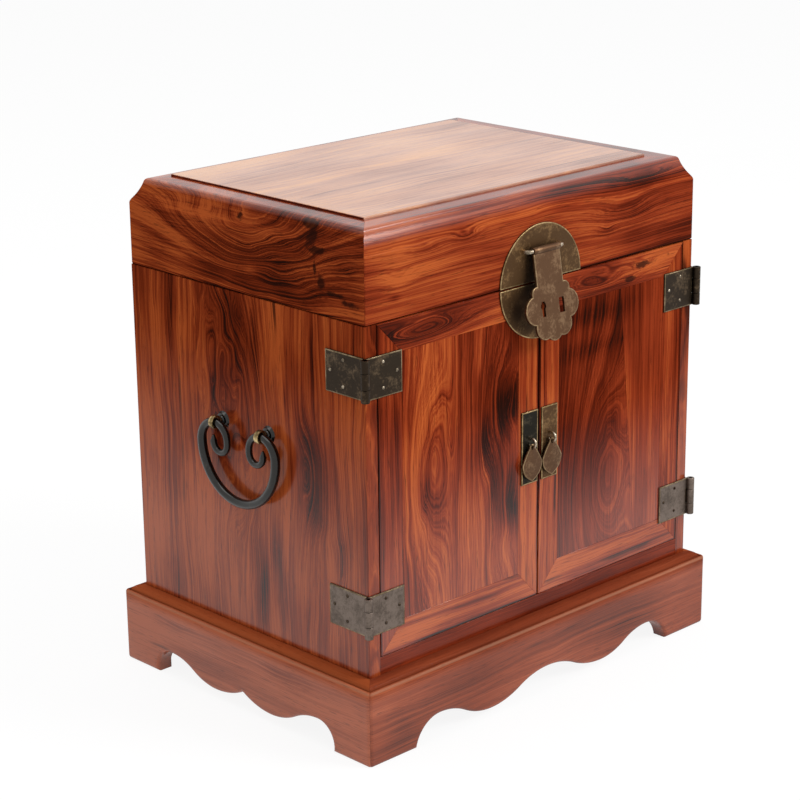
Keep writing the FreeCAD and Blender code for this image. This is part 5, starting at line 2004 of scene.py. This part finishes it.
@dataclass
class Handles(Assembly):
    """The posts and the scrolled bails on both sides, in millimetres."""

    distance: float = 47.0
    boss_radius: float = 6.2
    boss_height: float = 2.0
    boss_slope: float = 1.2
    boss_round: float = 0.5
    neck_radius: float = 2.6
    neck_flare: float = 0.6
    neck_rise: float = 0.8
    neck_sink: float = 0.9
    eye_radius: float = 4.8
    eye_width: float = 4.0
    eye_round: float = 0.55
    eye_clearance: float = 0.35
    standoff: float = 7.4
    bow: float = 38.2
    curl_drop: float = 12.2
    curl_run: float = 1.5
    curl_bow: float = 7.2
    curl_tip: float = 3.2
    radii: tuple[float, ...] = (1.1, 2.4, 2.4, 2.8, 3.3)
    bearing: int = 3
    run_points: tuple[int, ...] = (6, 26, 22, 24, 34)
    rod_sides: int = 26
    boss_sides: int = 32
    eye_sides: int = 36
    eye_points: int = 5

    def line(self) -> tuple[Array, Array]:
        """Draw a bail in (y, z) about its eyes.

        From its tip the rod drops, bends up round the curl, runs over its eye and follows the bow; the
        other half is its mirror image.

        Returns:
            Its path, and the radius at each point.
        """
        eye, bend = self.distance / 2, self.curl_bow
        drop, curl = self.bow - eye, eye - self.curl_drop + self.curl_bow
        low = -self.curl_drop - self.curl_run
        tip, hook, rise, shoulder, bow = self.run_points
        runs = [np.linspace((curl + bend, low + self.curl_tip), (curl + bend, low), tip),
                arc((curl, low), bend, 0.0, -180.0, hook),
                arc((eye, -self.curl_drop), self.curl_drop, 180.0, 90.0, rise),
                arc((eye, -drop), drop, 90.0, 0.0, shoulder)[1:],
                arc((0.0, -drop), self.bow, 0.0, -90.0, bow)[1:]]
        half = np.concatenate([runs[0], *[run[1:] for run in runs[1:]]])
        marks = np.cumsum([0] + [len(run) - 1 for run in runs[:-1]])
        widths = np.interp(np.arange(len(half)), marks, self.radii)
        return np.concatenate([half, mirrored(half)[-2::-1]]), np.concatenate([widths, widths[-2::-1]])

    def post(self, side: Side, y: float, z: float, face: float) -> tuple[Surface, Surface]:
        """Make a post.

        Args:
            side: the chest's side that it is on.
            y: its place from front to back.
            z: its height.
            face: where the case's face lies in x.

        Returns:
            Its boss and neck, and its eye as a rounded band.
        """
        rim = rounded(self.boss_radius - self.boss_slope, self.boss_height, self.boss_round, BOSS_TURNS)
        neck = [(self.neck_radius + self.neck_flare, self.boss_height),
                (self.neck_radius, self.boss_height + self.neck_rise),
                (self.neck_radius, self.standoff - self.eye_radius + self.neck_sink)]
        profile = np.concatenate([[(self.boss_radius, 0.0)], rim, neck])
        stem = Surface.loft(spun(profile, (face, y, z), Axis.X, self.boss_sides, side.value))
        inner = self.radii[self.bearing] + self.eye_clearance
        middle = (inner + self.eye_radius) / 2
        out, up = (self.eye_radius - inner) / 2 - self.eye_round, self.eye_width / 2 - self.eye_round
        corners = ((out, -up), (out, up), (-out, up), (-out, -up))
        loop = np.concatenate([arc((middle + x, rise), self.eye_round, turn - 90.0, turn, self.eye_points)
                               for turn, (x, rise) in zip((0.0, 90.0, 180.0, 270.0), corners)])
        axis = (face + side.value * self.standoff, y, z)
        return stem, Surface.loft(spun(loop, axis, Axis.Y, self.eye_sides), hoop=True)

    def build(self) -> None:
        """Make four posts and two bails."""
        path, radii = self.line()
        posts_low, posts_high = low_high("handle_posts")
        level = (posts_low[2] + posts_high[2]) / 2
        stems, eyes = [], []
        for side in Side:
            node = f"{side.word}_bail"
            low, high = low_high(node)
            axis = (low[0] + high[0]) / 2
            line = np.stack([np.full(len(path), axis), path[:, 0], path[:, 1] + level], axis=1)
            rod = tube(line, radii, Face.FRONT.value, self.rod_sides)
            self.bench.add(f"{node}_rod", [rod], node, "dark_brass", [IRON], [node])
            face = axis - side.value * self.standoff
            for end in Side:
                stem, eye = self.post(side, end.value * self.distance / 2, level, face)
                stems.append(stem)
                eyes.append(eye)
        self.bench.add("handle_stems", stems, "case", "dark_brass", [IRON], ["handle_posts"])
        self.bench.add("handle_eyes", eyes, "case", "dark_brass", [COLLAR], ["handle_posts"])


@dataclass(frozen=True)
class Lamp:
    """A square soft light, in metres and watts."""

    name: str
    place: Point
    aim: Point
    width: float
    power: float

    def light(self) -> None:
        """Hang the lamp so that it looks at its aim."""
        data = bpy.data.lights.new(self.name, "AREA")
        data.shape, data.size, data.energy = "SQUARE", self.width, self.power
        way = Vector(self.aim) - Vector(self.place)
        turned = way.to_track_quat("-Z", "Y").to_matrix().to_4x4()
        shown(self.name, data).matrix_world = Matrix.Translation(self.place) @ turned


@dataclass
class Studio:
    """The plain floor, the light and the camera, in metres and degrees."""

    azimuth: float = -44.02
    elevation: float = 17.59
    roll: float = -0.61
    position: Point = (-1.1209, -1.1416, 0.6952)
    focal_pixels: float = 2313.2
    image_pixels: float = 800.0
    sensor: float = 36.0
    clip: tuple[float, float] = (0.01, 100.0)
    white: Colour = (1.0, 1.0, 1.0)
    floor_half: float = 12.0
    floor_colour: Colour = (0.9, 0.9, 0.9)
    floor_strength: float = 1.04
    floor_glow: float = 0.86
    ambient: float = 0.5
    lamps: tuple[Lamp, ...] = (Lamp("key_light", (1.3, -2.2, 1.9), (0.0, 0.0, 0.2), 1.3, 55.0),
                               Lamp("top_light", (-0.3, 0.3, 2.6), (0.0, 0.0, 0.3), 1.8, 20.0))

    def camera(self) -> None:
        """Set the camera where the photograph was taken from."""
        turn, lift, roll = (math.radians(angle) for angle in (self.azimuth, self.elevation, self.roll))
        back = Vector((math.sin(turn) * math.cos(lift), -math.cos(turn) * math.cos(lift), math.sin(lift)))
        right = (-back).cross(Vector(UP)).normalized()
        up = right.cross(-back)
        across = math.cos(roll) * right + math.sin(roll) * up
        upward = -math.sin(roll) * right + math.cos(roll) * up
        data = bpy.data.cameras.new("camera")
        data.sensor_width = self.sensor
        data.lens = self.focal_pixels / self.image_pixels * self.sensor
        data.clip_start, data.clip_end = self.clip
        camera = shown("camera", data)
        turned = Matrix((across, upward, back)).transposed().to_4x4()
        camera.matrix_world = Matrix.Translation(self.position) @ turned
        bpy.context.scene.camera = camera

    @staticmethod
    def seen(shade: Shade) -> Wire:
        """Return 1 for what the camera sees, also in gloss and through glass, and 0 for light."""
        words = ("Camera", "Glossy", "Transmission")
        camera, gloss, glass = (shade.node("ShaderNodeLightPath", out=f"Is {word} Ray") for word in words)
        return camera.largest(gloss).largest(glass)

    def world(self) -> None:
        """Make a world that is white to the camera, in gloss and through glass, and softer as light."""
        world = bpy.data.worlds.new("studio")
        bpy.context.scene.world = world
        world.use_nodes = True
        shade = Shade(world.node_tree, "ShaderNodeOutputWorld")
        strength = shade.between(self.seen(shade), self.ambient, 1.0)
        shade.close(shade.node("ShaderNodeBackground", None, {"Color": self.white, "Strength": strength}))

    def floor(self) -> None:
        """Make a plain pale floor that keeps a faint shadow."""
        half = self.floor_half
        mesh = bpy.data.meshes.new("floor")
        corners = [(-half, -half, 0.0), (half, -half, 0.0), (half, half, 0.0), (-half, half, 0.0)]
        mesh.from_pydata(corners, [], [(0, 1, 2, 3)])
        floor = shown("floor", mesh)
        material = blank("floor")
        shade = Shade(material.node_tree)
        matt = shade.node("ShaderNodeBsdfDiffuse", None, {"Color": self.floor_colour})
        glow = shade.node("ShaderNodeEmission", None, {"Color": self.white, "Strength": self.floor_strength})
        share = self.seen(shade) * self.floor_glow
        shade.close(shade.node("ShaderNodeMixShader", None, {0: share, 1: matt, 2: glow}))
        mesh.materials.append(material)

    def build(self) -> None:
        """Make the studio."""
        bpy.context.scene.view_settings.view_transform = "Standard"
        self.world()
        self.floor()
        for lamp in self.lamps:
            lamp.light()
        self.camera()


def main() -> None:
    """Build the chest, piece by piece, and its studio."""
    logging.basicConfig(level=logging.INFO, format="%(name)s: %(message)s")
    bench = Bench()
    Studio().build()
    for part in (Base, Case, Lid, Doors, Drawers, Hinges, Lock, Handles):
        part(bench).build()
    LOG.info("%d pieces made", bench.count)


if __name__ == "__main__":
    main()
